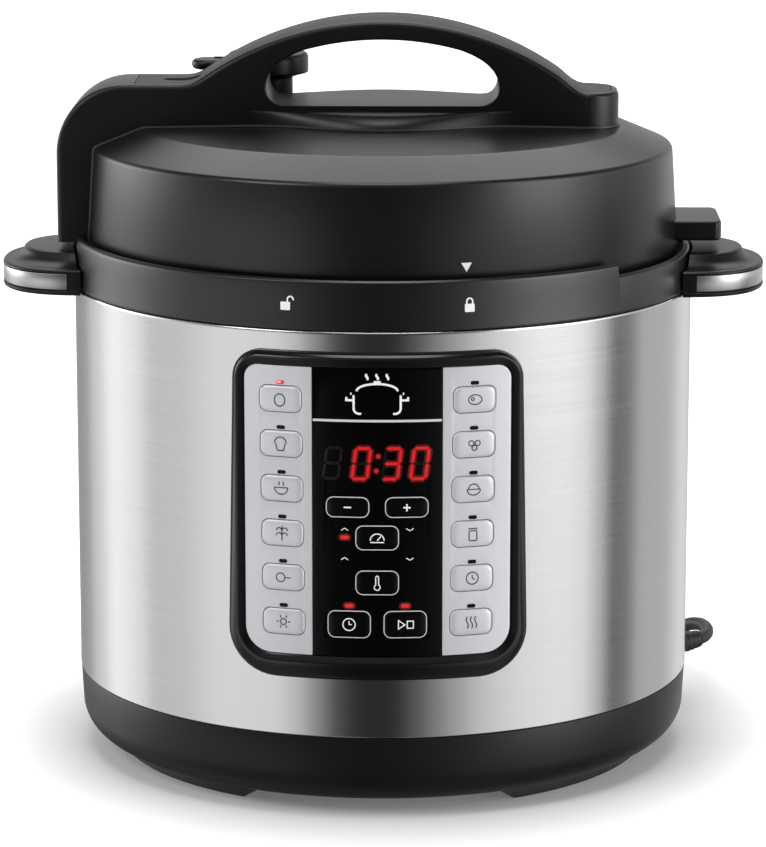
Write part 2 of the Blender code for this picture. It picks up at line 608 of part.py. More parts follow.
def make_lid_handle():
    end_top = (HANDLE_END_X, HANDLE_END_TOP)
    corner = arc((ARM_X + ARM_CORNER_R, ARM_TOP - ARM_CORNER_R), ARM_CORNER_R, 180, 90, 6)
    outline = [(-123 * MM, ARM_BOTTOM), (ARM_X, ARM_BOTTOM)] + corner + handle_top()
    outline += [end_top, (HANDLE_END_X, 262 * MM), (-123 * MM, 262 * MM)]
    handle = upright("lid_handle", outline, -HANDLE_HALF_WIDTH, HANDLE_HALF_WIDTH)

    end = slab("end_corners", [(60 * MM, -40 * MM), (120 * MM, -40 * MM), (120 * MM, 40 * MM), (60 * MM, 40 * MM)],
               250 * MM, 330 * MM)
    round_end = rounded(40 * MM, HANDLE_END_X, -HANDLE_HALF_WIDTH, HANDLE_HALF_WIDTH, 15 * MM, steps=4)
    cut(end, slab("round_end", round_end, 240 * MM, 340 * MM))
    cut(handle, end)

    half, wide = 55 * MM, 39.5 * MM
    lens_r = (half**2 + (wide - HANDLE_HALF_WIDTH) ** 2) / (2 * (wide - HANDLE_HALF_WIDTH))
    swing = degrees(atan2(half, lens_r - (wide - HANDLE_HALF_WIDTH)))
    front = arc((0, lens_r - wide), lens_r, -90 - swing, -90 + swing, 8)
    rear = [(x, -y) for x, y in reversed(front)]
    join(handle, slab("deck", front + rear, 270 * MM, OPENING_BOTTOM))

    top_arc = arc((0, ARCH_CENTRE_Z), OPENING_TOP - ARCH_CENTRE_Z, 70.5, 109.5, 8)
    side_r = 9 * MM
    opening = top_arc + arc((-OPENING_HALF + side_r, OPENING_BOTTOM + side_r), side_r, 150, 270, 4)
    opening += arc((OPENING_HALF - side_r, OPENING_BOTTOM + side_r), side_r, -90, 30, 4)
    cut(handle, upright("opening", opening, -60 * MM, 60 * MM))

    cut(handle, turned("lid_clearance", [*lid_profile(GAP), (0, LID_BOTTOM)], BLACK, closed=False))
    strip = handle_top()
    strip[0] = (-107 * MM, ARM_TOP)
    strip.append((100 * MM, HANDLE_END_TOP))
    above = [(x, z + 3 * MM) for x, z in strip]
    groove = [(above[0][0] - GAP, above[0][1])] + above[1:-1] + [(102 * MM - GAP, above[-1][1])]
    below = offset_down(strip, INLAY_DEPTH + GAP)
    below[0], below[-1] = (below[0][0] - GAP, below[0][1]), (102 * MM - GAP, below[-1][1])
    cut(handle, upright("groove", groove + below[::-1], -INLAY_HALF_WIDTH - GAP, INLAY_HALF_WIDTH + GAP))
    cut(handle, rod("float_hole", (FLOAT_X, 0, 260 * MM), (FLOAT_X, 0, 300 * MM), 4 * MM, segments=12))

    inlay = upright("handle_inlay", strip + offset_down(strip, INLAY_DEPTH)[::-1],
                    -INLAY_HALF_WIDTH, INLAY_HALF_WIDTH)
    oval = arc((FLOAT_X, 0), 8 * MM, 0, 337.5, 15, tall=0.55)
    cut(inlay, slab("float_window", oval, 280 * MM, 300 * MM))


def make_valves():
    valve = turned(
        "steam_valve",
        [(0, 301.5 * MM), (15 * MM, 301.5 * MM), (18 * MM, 299.5 * MM), (18 * MM, 292.5 * MM),
         (11 * MM, 290.5 * MM), (11 * MM, 276.5 * MM), (5.8 * MM, 276.5 * MM), (5.8 * MM, 289.5 * MM),
         (0, 289.5 * MM)],
        BLACK, centre=(VALVE_X, VALVE_Y), segments=24, closed=False,
    )
    paddle = [(VALVE_X, VALVE_Y - 9 * MM), (VALVE_X, VALVE_Y + 9 * MM)]
    paddle += arc((-79 * MM, VALVE_Y), 7 * MM, 90, 270, 5)
    join(valve, slab("paddle", paddle, 293.6 * MM, 298.5 * MM))
    turned(
        "steam_pipe",
        [(5.2 * MM, 289 * MM), (5.2 * MM, 238 * MM), (1.8 * MM, 238 * MM), (1.8 * MM, 289 * MM)],
        POLISHED, centre=(VALVE_X, VALVE_Y), segments=20,
    )
    turned(
        "anti_block_shield",
        [(0, 229 * MM), (8.6 * MM, 229 * MM), (12 * MM, 232.4 * MM), (12 * MM, 244.2 * MM),
         (13 * MM, 244.2 * MM), (13 * MM, 232 * MM), (9 * MM, 228 * MM), (0, 228 * MM)],
        POLISHED, centre=(VALVE_X, VALVE_Y), segments=20, closed=False,
    )
    turned(
        "float_valve",
        [(0, 286.5 * MM), (2 * MM, 286.5 * MM), (2.6 * MM, 285.9 * MM), (2.6 * MM, 236 * MM),
         (6 * MM, 236 * MM), (6 * MM, 233 * MM), (0, 233 * MM)],
        POLISHED, centre=(FLOAT_X, 0), segments=16, closed=False,
    )
    turned(
        "float_seal",
        [(6 * MM, 238.3 * MM), (6 * MM, 236.3 * MM), (2.9 * MM, 236.3 * MM), (2.9 * MM, 238.3 * MM)],
        SILICONE, centre=(FLOAT_X, 0), segments=16,
    )
    slab("lid_position_slider", sector(120 * MM, 124 * MM, -150, -134), 213.4 * MM, 215.6 * MM, BLACK)


def smooth_route(points, steps):
    """Points along a Catmull-Rom curve through the given ones."""
    line = [Vector(p) * MM for p in points]
    ends = [2 * line[0] - line[1]] + line + [2 * line[-1] - line[-2]]
    route = []
    for a, b, c, d in zip(ends, ends[1:], ends[2:], ends[3:]):
        for step in range(steps):
            t = step / steps
            route.append(0.5 * (2 * b + (c - a) * t + (2 * a - 5 * b + 4 * c - d) * t**2
                                + (3 * b - a - 3 * c + d) * t**3))
    return route + [line[-1]]


def tube(name, points, radii=None, sides=2):
    """A round tube of the cord's size along some points, or of its own radius at each of them."""
    curve = bpy.data.curves.new(name, "CURVE")
    curve.dimensions = "3D"
    curve.bevel_depth = CORD_D / 2
    curve.bevel_resolution = sides
    curve.use_fill_caps = True
    spline = curve.splines.new("POLY")
    spline.points.add(len(points) - 1)
    for number, (point, place) in enumerate(zip(spline.points, points)):
        point.co = (*place, 1)
        if radii:
            point.radius = radii[number] / curve.bevel_depth
    obj = bpy.data.objects.new(name, curve)
    PARTS.objects.link(obj)
    return finished(obj, name, SOFT_BLACK)


def make_cord():
    """The boot, the free stretch and the coil; all but the boot come down to the ground."""
    boot = [[value * MM for value in point] for point in RELIEF_ROUTE]
    tube("strain_relief", [point[:3] for point in boot], [point[3] for point in boot], sides=3)
    tube("power_cord", smooth_route(CORD_ROUTE, 2))
    inner, outer = COIL_MEAN_R - COIL_HALF_WIDTH, COIL_MEAN_R + COIL_HALF_WIDTH
    turned(
        "cord_coil",
        [(outer, COIL_HEIGHT), (outer, 0.05 * MM), (inner, 0.05 * MM), (inner, COIL_HEIGHT)],
        SOFT_BLACK, centre=COIL_CENTRE, segments=24,
    )


def make_plug():
    """A moulded mains plug with two flat blades and a round earth pin, lying beside the coil."""
    tail_x, y = COIL_CENTRE[0] - 22.4 * MM, COIL_CENTRE[1] + COIL_MEAN_R + CORD_D / 2
    tail = [(tail_x, 3.5), (tail_x - 20 * MM, 5.5), (tail_x - 24 * MM, 11.5), (tail_x - 44 * MM, 11.5),
            (tail_x - 50 * MM, 9)]
    outline = [(x, y + half * MM) for x, half in tail] + [(x, y - half * MM) for x, half in reversed(tail)]
    body = [(x, y + side * MM) for x, side in ((tail_x - 18 * MM, 12), (tail_x - 51 * MM, 12),
                                               (tail_x - 51 * MM, -12), (tail_x - 18 * MM, -12))]
    plug = slab("cord_plug", outline, 4 * MM, 15 * MM, SOFT_BLACK)
    wide = keep(slab("plug_body", outline, 0.05 * MM, 20 * MM, SOFT_BLACK), slab("body_part", body, -1 * MM, 21 * MM))
    join(plug, wide)
    tip = tail_x - 49 * MM
    for side in (-6.3 * MM, 6.3 * MM):
        join(plug, box("blade", (tip - 19 * MM, y + side - 0.8 * MM, 5 * MM), (tip, y + side + 0.8 * MM, 11.4 * MM)))
    join(plug, rod("earth_pin", (tip, y, 15 * MM), (tip - 21 * MM, y, 15 * MM), 2.3 * MM, segments=12))


make_base()
make_feet()
make_sleeve()
make_collar()
make_side_handles()
make_pots()
make_heater()
make_electronics()
make_panel()
make_condensation_cup()
make_lid()
make_lid_handle()
make_valves()
make_cord()
make_plug()
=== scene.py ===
"""Looks of an electric pressure cooker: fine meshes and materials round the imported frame, in mm."""

from math import asin, copysign, cos, degrees, pi, radians, sin

import bmesh
import bpy
from mathutils import Matrix, Vector


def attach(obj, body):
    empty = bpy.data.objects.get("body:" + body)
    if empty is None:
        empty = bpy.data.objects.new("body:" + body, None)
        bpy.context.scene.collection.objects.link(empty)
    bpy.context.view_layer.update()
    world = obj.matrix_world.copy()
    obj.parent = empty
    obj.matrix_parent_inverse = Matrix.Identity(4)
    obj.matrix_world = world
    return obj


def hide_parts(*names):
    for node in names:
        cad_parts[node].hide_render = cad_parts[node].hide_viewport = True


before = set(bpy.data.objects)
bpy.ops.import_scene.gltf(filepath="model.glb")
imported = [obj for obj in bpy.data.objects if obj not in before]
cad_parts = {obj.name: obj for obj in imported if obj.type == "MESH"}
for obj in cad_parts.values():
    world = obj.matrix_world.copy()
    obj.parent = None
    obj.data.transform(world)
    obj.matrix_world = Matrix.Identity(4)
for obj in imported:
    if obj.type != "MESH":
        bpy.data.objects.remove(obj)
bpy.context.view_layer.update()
MM = 0.001


# ---------------------------------------------------------------- outlines


def arc(centre, radius, start, end, steps, tall=1.0):
    """Points along an arc in degrees; tall squeezes its second axis."""
    turns = [radians(start + (end - start) * n / steps) for n in range(steps + 1)]
    return [(centre[0] + radius * cos(t), centre[1] + radius * tall * sin(t)) for t in turns]


def rounded(low_x, high_x, low_y, high_y, top, bottom=None, steps=8):
    """A rectangle with round corners, anticlockwise from its upper right corner."""
    bottom = top if bottom is None else bottom
    corners = (
        (high_x - top, high_y - top, top, 0),
        (low_x + top, high_y - top, top, 90),
        (low_x + bottom, low_y + bottom, bottom, 180),
        (high_x - bottom, low_y + bottom, bottom, 270),
    )
    return [p for x, y, r, turn in corners for p in arc((x, y), r, turn, turn + 90, steps)]


def soften(points, closed=False, steps=5):
    """A line whose points (a, b, radius) have their corners rounded by that radius."""
    line = []
    count = len(points)
    for number, point in enumerate(points):
        radius = point[2] if len(point) > 2 else 0
        here = Vector(point[:2])
        if not radius or (not closed and number in (0, count - 1)):
            line.append(tuple(here))
            continue
        before = Vector(points[number - 1][:2])
        after = Vector(points[(number + 1) % count][:2])
        back, on = (before - here), (after - here)
        angle = back.angle(on)
        if abs(angle - pi) < 1e-3:
            line.append(tuple(here))
            continue
        reach = radius / abs(sin(angle / 2)) * cos(angle / 2)
        reach = min(reach, 0.48 * back.length, 0.48 * on.length)
        size = reach * abs(sin(angle / 2)) / cos(angle / 2)
        middle = (back.normalized() + on.normalized()).normalized() * (size / sin(angle / 2)) + here
        first, last = here + back.normalized() * reach, here + on.normalized() * reach
        start, end = first - middle, last - middle
        sweep = start.angle_signed(end)
        for step in range(steps + 1):
            line.append(tuple(middle + Matrix.Rotation(-sweep * step / steps, 2) @ start))
    return line


def all_round(count):
    """Azimuths in degrees, evenly spaced round the full turn."""
    return [360 * n / count for n in range(count)]


def azimuth_point(radius, azimuth, z):
    """A point at an azimuth in degrees, which is 0 at the front and grows towards +X."""
    return (radius * sin(radians(azimuth)), -radius * cos(radians(azimuth)), z)


# ---------------------------------------------------------------- meshes


class Shape:
    """Points and faces that become one piece, with a material for each face."""

    def __init__(self):
        self.points, self.faces, self.surfaces, self.marks = [], [], [], []

    def add(self, points, faces, surface):
        if surface not in self.surfaces:
            self.surfaces.append(surface)
        start = len(self.points)
        self.points += points
        self.faces += [[start + n for n in face] for face in faces]
        self.marks += [self.surfaces.index(surface)] * len(faces)
        return self

    def rings(self, rings, surface, loop=False):
        """Faces between rings of as many points each; loop joins the last ring to the first."""
        count = len(rings[0])
        points = [tuple(p) for ring in rings for p in ring]
        faces = []
        for level in range(len(rings) if loop else len(rings) - 1):
            a, b = level * count, (level + 1) % len(rings) * count
            for n in range(count):
                m = (n + 1) % count
                faces.append((a + n, a + m, b + m, b + n))
        if not loop:
            faces.append(tuple(range(count))[::-1])
            faces.append(tuple((len(rings) - 1) * count + n for n in range(count)))
        return self.add(points, faces, surface)

    def lathe(self, profile, surface, turns=None, centre=(0, 0), drop=None):
        """A profile of (radius, z) turned about Z; its two ends are on the axis, or it is closed."""
        turns = turns or all_round(180)
        points, rows, faces = [], [], []
        for radius, z in profile:
            if radius < 1e-6:
                rows.append([len(points)] * len(turns))
                points.append((centre[0], centre[1], z))
                continue
            rows.append(list(range(len(points), len(points) + len(turns))))
            for turn in turns:
                x, y, _ = azimuth_point(radius, turn, z)
                lowered = drop(turn, radius, z) if drop else z
                points.append((centre[0] + x, centre[1] + y, lowered))
        on_axis = profile[0][0] < 1e-6
        pairs = list(zip(rows, rows[1:])) + ([] if on_axis else [(rows[-1], rows[0])])
        for a, b in pairs:
            for n in range(len(turns)):
                m = (n + 1) % len(turns)
                face = []
                for corner in (a[n], a[m], b[m], b[n]):
                    if corner not in face:
                        face.append(corner)
                if len(face) > 2:
                    faces.append(face)
        return self.add(points, faces, surface)

    def tube(self, path, radii, surface, sides=20):
        """A closed tube along a path, with a radius at each point."""
        rings, up = [], Vector((0, 0, 1))
        path = [Vector(p) for p in path]
        for number, point in enumerate(path):
            ahead = path[min(number + 1, len(path) - 1)] - path[max(number - 1, 0)]
            side = ahead.cross(up).normalized() if ahead.cross(up).length > 1e-6 else Vector((1, 0, 0))
            lift = side.cross(ahead).normalized()
            ring = []
            for n in range(sides):
                turn = 2 * pi * n / sides
                ring.append(point + radii[number] * (side * cos(turn) + lift * sin(turn)))
            rings.append(ring)
        return self.rings(rings, surface)

    def make(self, name, body=None, replaces=(), slot=None):
        """The piece as an object, which is settled on a body where one is given."""
        mesh = bpy.data.meshes.new(name)
        mesh.from_pydata([tuple(c * MM for c in p) for p in self.points], [], self.faces)
        for surface in self.surfaces:
            mesh.materials.append(surface)
        mesh.polygons.foreach_set("material_index", self.marks)
        obj = bpy.data.objects.new(name, mesh)
        bpy.context.scene.collection.objects.link(obj)
        tidy_mesh(obj)
        return settle(obj, body, replaces, slot) if body else obj


def tidy_mesh(obj, smooth=32):
    """Joins double points and shades smooth up to an angle in degrees."""
    bm = bmesh.new()
    bm.from_mesh(obj.data)
    bmesh.ops.remove_doubles(bm, verts=bm.verts, dist=1e-6)
    bmesh.ops.dissolve_degenerate(bm, edges=bm.edges, dist=1e-7)
    bmesh.ops.recalc_face_normals(bm, faces=bm.faces)
    bm.to_mesh(obj.data)
    bm.free()
    obj.data.shade_smooth()
    obj.data.set_sharp_from_angle(angle=radians(smooth))


def settle(obj, body, replaces=(), slot=None):
    """The piece rides on its body and stands for its nodes."""
    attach(obj, body)
    if isinstance(replaces, str):
        replaces = (replaces,)
    if replaces:
        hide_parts(*replaces)
    return obj


def boolean(obj, operation, *others, smooth=32):
    """Cuts the others from the object or joins them to it, one after another, and removes them."""
    for other in others:
        modifier = obj.modifiers.new("shape", "BOOLEAN")
        modifier.operation, modifier.object, modifier.solver = operation, other, "EXACT"
        graph = bpy.context.evaluated_depsgraph_get()
        graph.update()
        mesh = bpy.data.meshes.new_from_object(obj.evaluated_get(graph))
        obj.modifiers.clear()
        obj.data = mesh
        bpy.data.objects.remove(other, do_unlink=True)
    tidy_mesh(obj, smooth)
    return obj


def plate(name, outline, low, high, surface, bevel=0.0, holes=(), steps=3):
    """A closed plate over an anticlockwise outline, with rounded edges, from low to high along Z."""
    curve = bpy.data.curves.new(name, "CURVE")
    curve.dimensions, curve.fill_mode = "2D", "BOTH"
    curve.extrude = ((high - low) / 2 - bevel) * MM
    curve.bevel_depth, curve.bevel_resolution, curve.offset = bevel * MM, steps, -bevel * MM
    for line in (outline, *[hole[::-1] for hole in holes]):
        spline = curve.splines.new("POLY")
        spline.points.add(len(line) - 1)
        for point, (x, y) in zip(spline.points, line):
            point.co = (x * MM, y * MM, 0, 1)
        spline.use_cyclic_u = True
    obj = bpy.data.objects.new(name, curve)
    bpy.context.scene.collection.objects.link(obj)
    graph = bpy.context.evaluated_depsgraph_get()
    graph.update()
    mesh = bpy.data.meshes.new_from_object(obj.evaluated_get(graph))
    bpy.data.objects.remove(obj, do_unlink=True)
    mesh.transform(Matrix.Translation((0, 0, (low + high) / 2 * MM)))
    mesh.materials.clear()
    mesh.materials.append(surface)
    made = bpy.data.objects.new(name, mesh)
    bpy.context.scene.collection.objects.link(made)
    tidy_mesh(made)
    return made


def upright(name, outline, low_y, high_y, surface, bevel=0.0):
    """A plate over an outline in X and Z, from low_y to high_y."""
    made = plate(name, outline, -high_y, -low_y, surface, bevel)
    made.data.transform(Matrix.Rotation(pi / 2, 4, "X"))
    return made


def rod(name, x, y, low, high, radius, surface, sides=40):
    """An upright cutter; its tiny lean gives the tube a side direction."""
    return Shape().tube([(x, y, low), (x + 0.001, y, high)], [radius, radius], surface, sides).make(name)


def boxed(name, low, high, surface):
    (x0, y0, z0), (x1, y1, z1) = low, high
    ring = [(x0, y0), (x1, y0), (x1, y1), (x0, y1)]
    return Shape().rings([[(x, y, z0) for x, y in ring], [(x, y, z1) for x, y in ring]], surface).make(name)


# ---------------------------------------------------------------- materials


def surface(name, colour, roughness, metallic=0.0, **sockets):
    """A new material and its shader; sockets are set on the shader by name."""
    made = bpy.data.materials.new(name)
    made.use_nodes = True
    shader = made.node_tree.nodes["Principled BSDF"]
    shader.inputs["Base Color"].default_value = (*colour, 1)
    shader.inputs["Roughness"].default_value = roughness
    shader.inputs["Metallic"].default_value = metallic
    for key, value in sockets.items():
        shader.inputs[key.replace("_", " ")].default_value = value
    made.diffuse_color = (*colour, 1)
    return made


def node(tree, kind, inputs=None, **settings):
    made = tree.nodes.new(kind)
    for key, value in settings.items():
        setattr(made, key, value)
    for key, value in (inputs or {}).items():
        if hasattr(value, "node"):
            tree.links.new(value, made.inputs[key])
        else:
            made.inputs[key].default_value = value
    return made


def noise(tree, place, scale, detail):
    return node(tree, "ShaderNodeTexNoise", {"Vector": place, "Scale": scale, "Detail": detail}).outputs[0]


def weighed(tree, first, share, second, other_share):
    """The sum of two values, each times its share."""
    weighted = maths(tree, "MULTIPLY", first, share), maths(tree, "MULTIPLY", second, other_share)
    return maths(tree, "ADD", *weighted)


def maths(tree, operation, first, second=0.0):
    return node(tree, "ShaderNodeMath", {0: first, 1: second}, operation=operation).outputs[0]


def colour_mix(tree, share, first, second):
    """The shader's base colour goes from one colour to another."""
    mix = node(tree, "ShaderNodeMix", {"Factor": share}, data_type="RGBA")
    mix.inputs[6].default_value, mix.inputs[7].default_value = (*first, 1), (*second, 1)
    tree.links.new(mix.outputs[2], tree.nodes["Principled BSDF"].inputs["Base Color"])


def spread(tree, value, low, high, start=0.3, end=0.7, kind="LINEAR"):
    """Maps a value between start and end to a range from low to high."""
    inputs = {"Value": value, "From Min": start, "From Max": end, "To Min": low, "To Max": high}
    return node(tree, "ShaderNodeMapRange", inputs, interpolation_type=kind).outputs["Result"]


def moulded(name, colour, size, depth, roughness, tones=None, wide=14.0, metallic=0.0, **sockets):
    """A material with a fine grain of a size and depth in mm, and slow changes of roughness and tone."""
    made = surface(name, colour, sum(roughness) / 2, metallic, **sockets)
    tree = made.node_tree
    shader = tree.nodes["Principled BSDF"]
    place = node(tree, "ShaderNodeTexCoord").outputs["Object"]
    fine = noise(tree, place, 1000 / size, 3.0)
    bump = node(tree, "ShaderNodeBump", {"Height": fine, "Distance": depth * MM, "Strength": 1.0})
    tree.links.new(bump.outputs[0], shader.inputs["Normal"])
    slow = noise(tree, place, wide, 4.0)
    mixed = weighed(tree, fine, 0.35, slow, 0.65)
    tree.links.new(spread(tree, mixed, *roughness), shader.inputs["Roughness"])
    if tones:
        colour_mix(tree, spread(tree, slow, 0, 1), *tones)
    return made


def brushed(name, colour, roughness, radius, along, across, bump, aniso=0.3):
    """Metal brushed round the Z axis, or along Y where radius is 0, in roughness, colour and bump."""
    rotation = 0.25 if radius else 0.0
    made = surface(name, colour, roughness, 1.0, Anisotropic=aniso, Anisotropic_Rotation=rotation)
    tree = made.node_tree
    shader = tree.nodes["Principled BSDF"]
    place = node(tree, "ShaderNodeTexCoord").outputs["Object"]
    parts = node(tree, "ShaderNodeSeparateXYZ", {"Vector": place}).outputs
    if radius:
        turn = maths(tree, "ARCTAN2", parts["X"], maths(tree, "MULTIPLY", parts["Y"], -1.0))
        run = maths(tree, "MULTIPLY", turn, radius * MM)
        tangent = node(tree, "ShaderNodeTangent", direction_type="RADIAL", axis="Z")
        tree.links.new(tangent.outputs[0], shader.inputs["Tangent"])
    else:
        run = parts["Y"]
    streaks = []
    for length, width in ((along, across), (along * 0.45, across * 0.17), (along * 0.2, across * 0.02)):
        vector = node(tree, "ShaderNodeCombineXYZ", {
            "X": maths(tree, "MULTIPLY", run, length), "Z": maths(tree, "MULTIPLY", parts["Z"], width)})
        streaks.append(noise(tree, vector.outputs[0], 1.0, 2.0))
    fine = weighed(tree, streaks[0], 0.55, streaks[1], 0.3)
    mixed = maths(tree, "ADD", fine, maths(tree, "MULTIPLY", streaks[2], 0.15))
    rough = spread(tree, mixed, roughness - 0.02, roughness + 0.03, 0.35, 0.65)
    tree.links.new(rough, shader.inputs["Roughness"])
    tones = [c * 0.965 for c in colour], [c * 1.03 for c in colour]
    colour_mix(tree, spread(tree, mixed, 0, 1, 0.35, 0.65), *tones)
    dents = node(tree, "ShaderNodeBump", {"Height": fine, "Distance": bump * MM, "Strength": 1.0})
    tree.links.new(dents.outputs[0], shader.inputs["Normal"])
    return made


def glowing(name, colour, strength, base=(0.05, 0.0, 0.0)):
    made = surface(name, base, 0.3, Emission_Strength=strength)
    made.node_tree.nodes["Principled BSDF"].inputs["Emission Color"].default_value = (*colour, 1)
    return made


BLACK_TONES = (0.003, 0.003, 0.0032), (0.0045, 0.0045, 0.0047)
SATIN = moulded("satin_black", (0.0026, 0.0026, 0.0028), 0.35, 0.004, (0.31, 0.4), BLACK_TONES,
                Specular_IOR_Level=0.4)
BASE_BLACK = moulded("base_black", (0.003, 0.003, 0.0032), 0.35, 0.004, (0.36, 0.44), BLACK_TONES,
                     Specular_IOR_Level=0.3)
LID_BLACK = moulded("lid_black", (0.0026, 0.0026, 0.0028), 0.3, 0.003, (0.27, 0.35), BLACK_TONES)
COLLAR_BLACK = moulded("collar_black", (0.0022, 0.0022, 0.0024), 0.35, 0.004, (0.29, 0.38),
                       Specular_IOR_Level=0.7)
INLAY_BLACK = moulded("inlay_black", (0.003, 0.003, 0.0033), 0.3, 0.004, (0.35, 0.44),
                      ((0.006, 0.006, 0.0065), (0.009, 0.009, 0.0095)), Specular_IOR_Level=0.2)
GRIP_BLACK = moulded("opening_black", (0.01, 0.01, 0.0105), 0.3, 0.0015, (0.13, 0.2),
                     ((0.008, 0.008, 0.0085), (0.014, 0.014, 0.0145)), Specular_IOR_Level=0.7)
# painted highlight: a grey far lighter than the other blacks stands for the light line round the handle's
# foot
PAINTED_HIGHLIGHT_EDGE = moulded("foot_edge_painted_highlight", (0.05, 0.05, 0.051), 0.3, 0.002, (0.3, 0.4))
GLOSS = moulded("gloss_black", (0.0012, 0.0012, 0.0013), 2.0, 0.0008, (0.09, 0.15), Specular_IOR_Level=0.15)
BEZEL_BLACK = moulded("bezel_black", (0.003, 0.003, 0.0032), 0.6, 0.0015, (0.17, 0.24),
                      Specular_IOR_Level=0.5)
KEY_BLACK = moulded("key_black", (0.0015, 0.0015, 0.0016), 0.3, 0.0015, (0.17, 0.26), Specular_IOR_Level=0.2)
RUBBER = moulded("soft_rubber", (0.014, 0.014, 0.014), 0.4, 0.02, (0.6, 0.75),
                 ((0.012, 0.012, 0.012), (0.018, 0.018, 0.018)))
CORD_BLACK = moulded("cord_cover", (0.012, 0.012, 0.012), 0.5, 0.01, (0.42, 0.55),
                     ((0.011, 0.011, 0.011), (0.017, 0.017, 0.017)))
STEEL = brushed("brushed_steel", (0.62, 0.62, 0.625), 0.17, 135, 14, 5000, 0.0006)
TRIM = brushed("trim_steel", (0.5, 0.5, 0.51), 0.3, 0, 20, 3500, 0.001)
POLISHED = brushed("polished_steel", (0.66, 0.66, 0.66), 0.14, 111, 30, 2500, 0.001, aniso=0.2)
ALUMINIUM = brushed("aluminium", (0.75, 0.76, 0.77), 0.34, 85, 60, 1800, 0.004)
SILVER = moulded("silver_film", (0.63, 0.63, 0.655), 0.12, 0.002, (0.38, 0.46),
                 ((0.6, 0.6, 0.63), (0.66, 0.66, 0.685)), metallic=0.5)
WHITE_INK = moulded("white_ink", (0.72, 0.72, 0.72), 0.2, 0.001, (0.45, 0.55))
GREY_INK = moulded("grey_ink", (0.5, 0.5, 0.51), 0.2, 0.001, (0.45, 0.55))
DARK_INK = moulded("dark_ink", (0.03, 0.03, 0.035), 0.2, 0.001, (0.45, 0.55))
SILICONE = moulded("silicone", (0.62, 0.63, 0.62), 0.8, 0.01, (0.42, 0.56),
                   ((0.58, 0.59, 0.58), (0.66, 0.67, 0.66)), Subsurface_Weight=0.2)
CLEAR = moulded("smoky_clear", (0.55, 0.57, 0.58), 3.0, 0.002, (0.05, 0.1), Transmission_Weight=0.85,
                IOR=1.49)
BOARD = moulded("circuit_board", (0.02, 0.11, 0.045), 1.2, 0.02, (0.25, 0.45),
                ((0.015, 0.09, 0.035), (0.03, 0.14, 0.06)), wide=300)
BRASS = moulded("plated_brass", (0.8, 0.66, 0.36), 0.5, 0.002, (0.18, 0.28), metallic=1.0)
RED_ON = glowing("red_lit", (1.0, 0.012, 0.016), 0.66)
# painted glow: faint red rings round lit segments and lamps, glowing on the window where there is no lamp
RED_PAINTED_HALO = glowing("red_painted_halo", (1.0, 0.004, 0.004), 0.12)
RED_PAINTED_GLOW = glowing("red_painted_glow", (1.0, 0.004, 0.004), 0.03)
RED_LAMP = glowing("red_lamp", (1.0, 0.03, 0.035), 0.66)
HOT_LAMP = glowing("hot_lamp", (1.0, 0.55, 0.5), 0.9)
RED_OFF = glowing("red_unlit", (0.3, 0.02, 0.02), 0.005, (0.004, 0.002, 0.002))


# ---------------------------------------------------------------- camera, light and floor


BELOW = [  # brightness of the surroundings, just below the horizon: (azimuth, brightness)
    (-180, 0.45), (-158, 0.36), (-147, 0.45), (-134, 0.85), (-118, 1.38), (-105, 1.2), (-93, 0.8),
    (-82, 0.85), (-60, 1.12), (-40, 1.1), (-31, 0.85), (-24, 0.42), (-16, 0.11), (-8, 0.035), (5, 0.035),
    (14, 0.16), (21, 0.36), (29, 0.58), (37, 0.85), (45, 1.0), (55, 1.12), (70, 1.2), (80, 1.15), (89, 0.7),
    (96, 0.16), (103, 0.24), (114, 0.62), (130, 0.62), (152, 0.9), (180, 0.5)]
ABOVE = [  # and above it
    (-180, 0.6), (-150, 0.8), (-138, 1.3), (-124, 4.2), (-112, 4.8), (-99, 3.3), (-88, 1.3), (-78, 0.6),
    (-65, 0.34), (-50, 0.24), (-36, 0.16), (-21, 0.04), (-6, 0.015), (10, 0.015), (22, 0.05), (34, 0.22),
    (46, 1.5), (57, 4.5), (70, 5.1), (86, 2.0), (105, 0.9), (123, 0.85), (140, 0.8), (160, 0.7), (180, 0.6)]
BRIGHTEST = 6  # what a ramp's full white stands for
CAMERA_TURN, CAMERA_PITCH = radians(1), radians(90 - 11.88)
CAMERA_AWAY, CAMERA_HEIGHT, LENS = 1.6875, 0.496, 182.82


def make_camera():
    camera_data = bpy.data.cameras.new("camera")
    camera = bpy.data.objects.new("camera", camera_data)
    bpy.context.scene.collection.objects.link(camera)
    camera.location = (CAMERA_AWAY * sin(CAMERA_TURN), -CAMERA_AWAY * cos(CAMERA_TURN), CAMERA_HEIGHT)
    camera.rotation_euler = (CAMERA_PITCH, 0, CAMERA_TURN)
    camera_data.sensor_fit, camera_data.sensor_width, camera_data.lens = "HORIZONTAL", 36, LENS
    camera_data.clip_end = 50
    bpy.context.scene.camera = camera


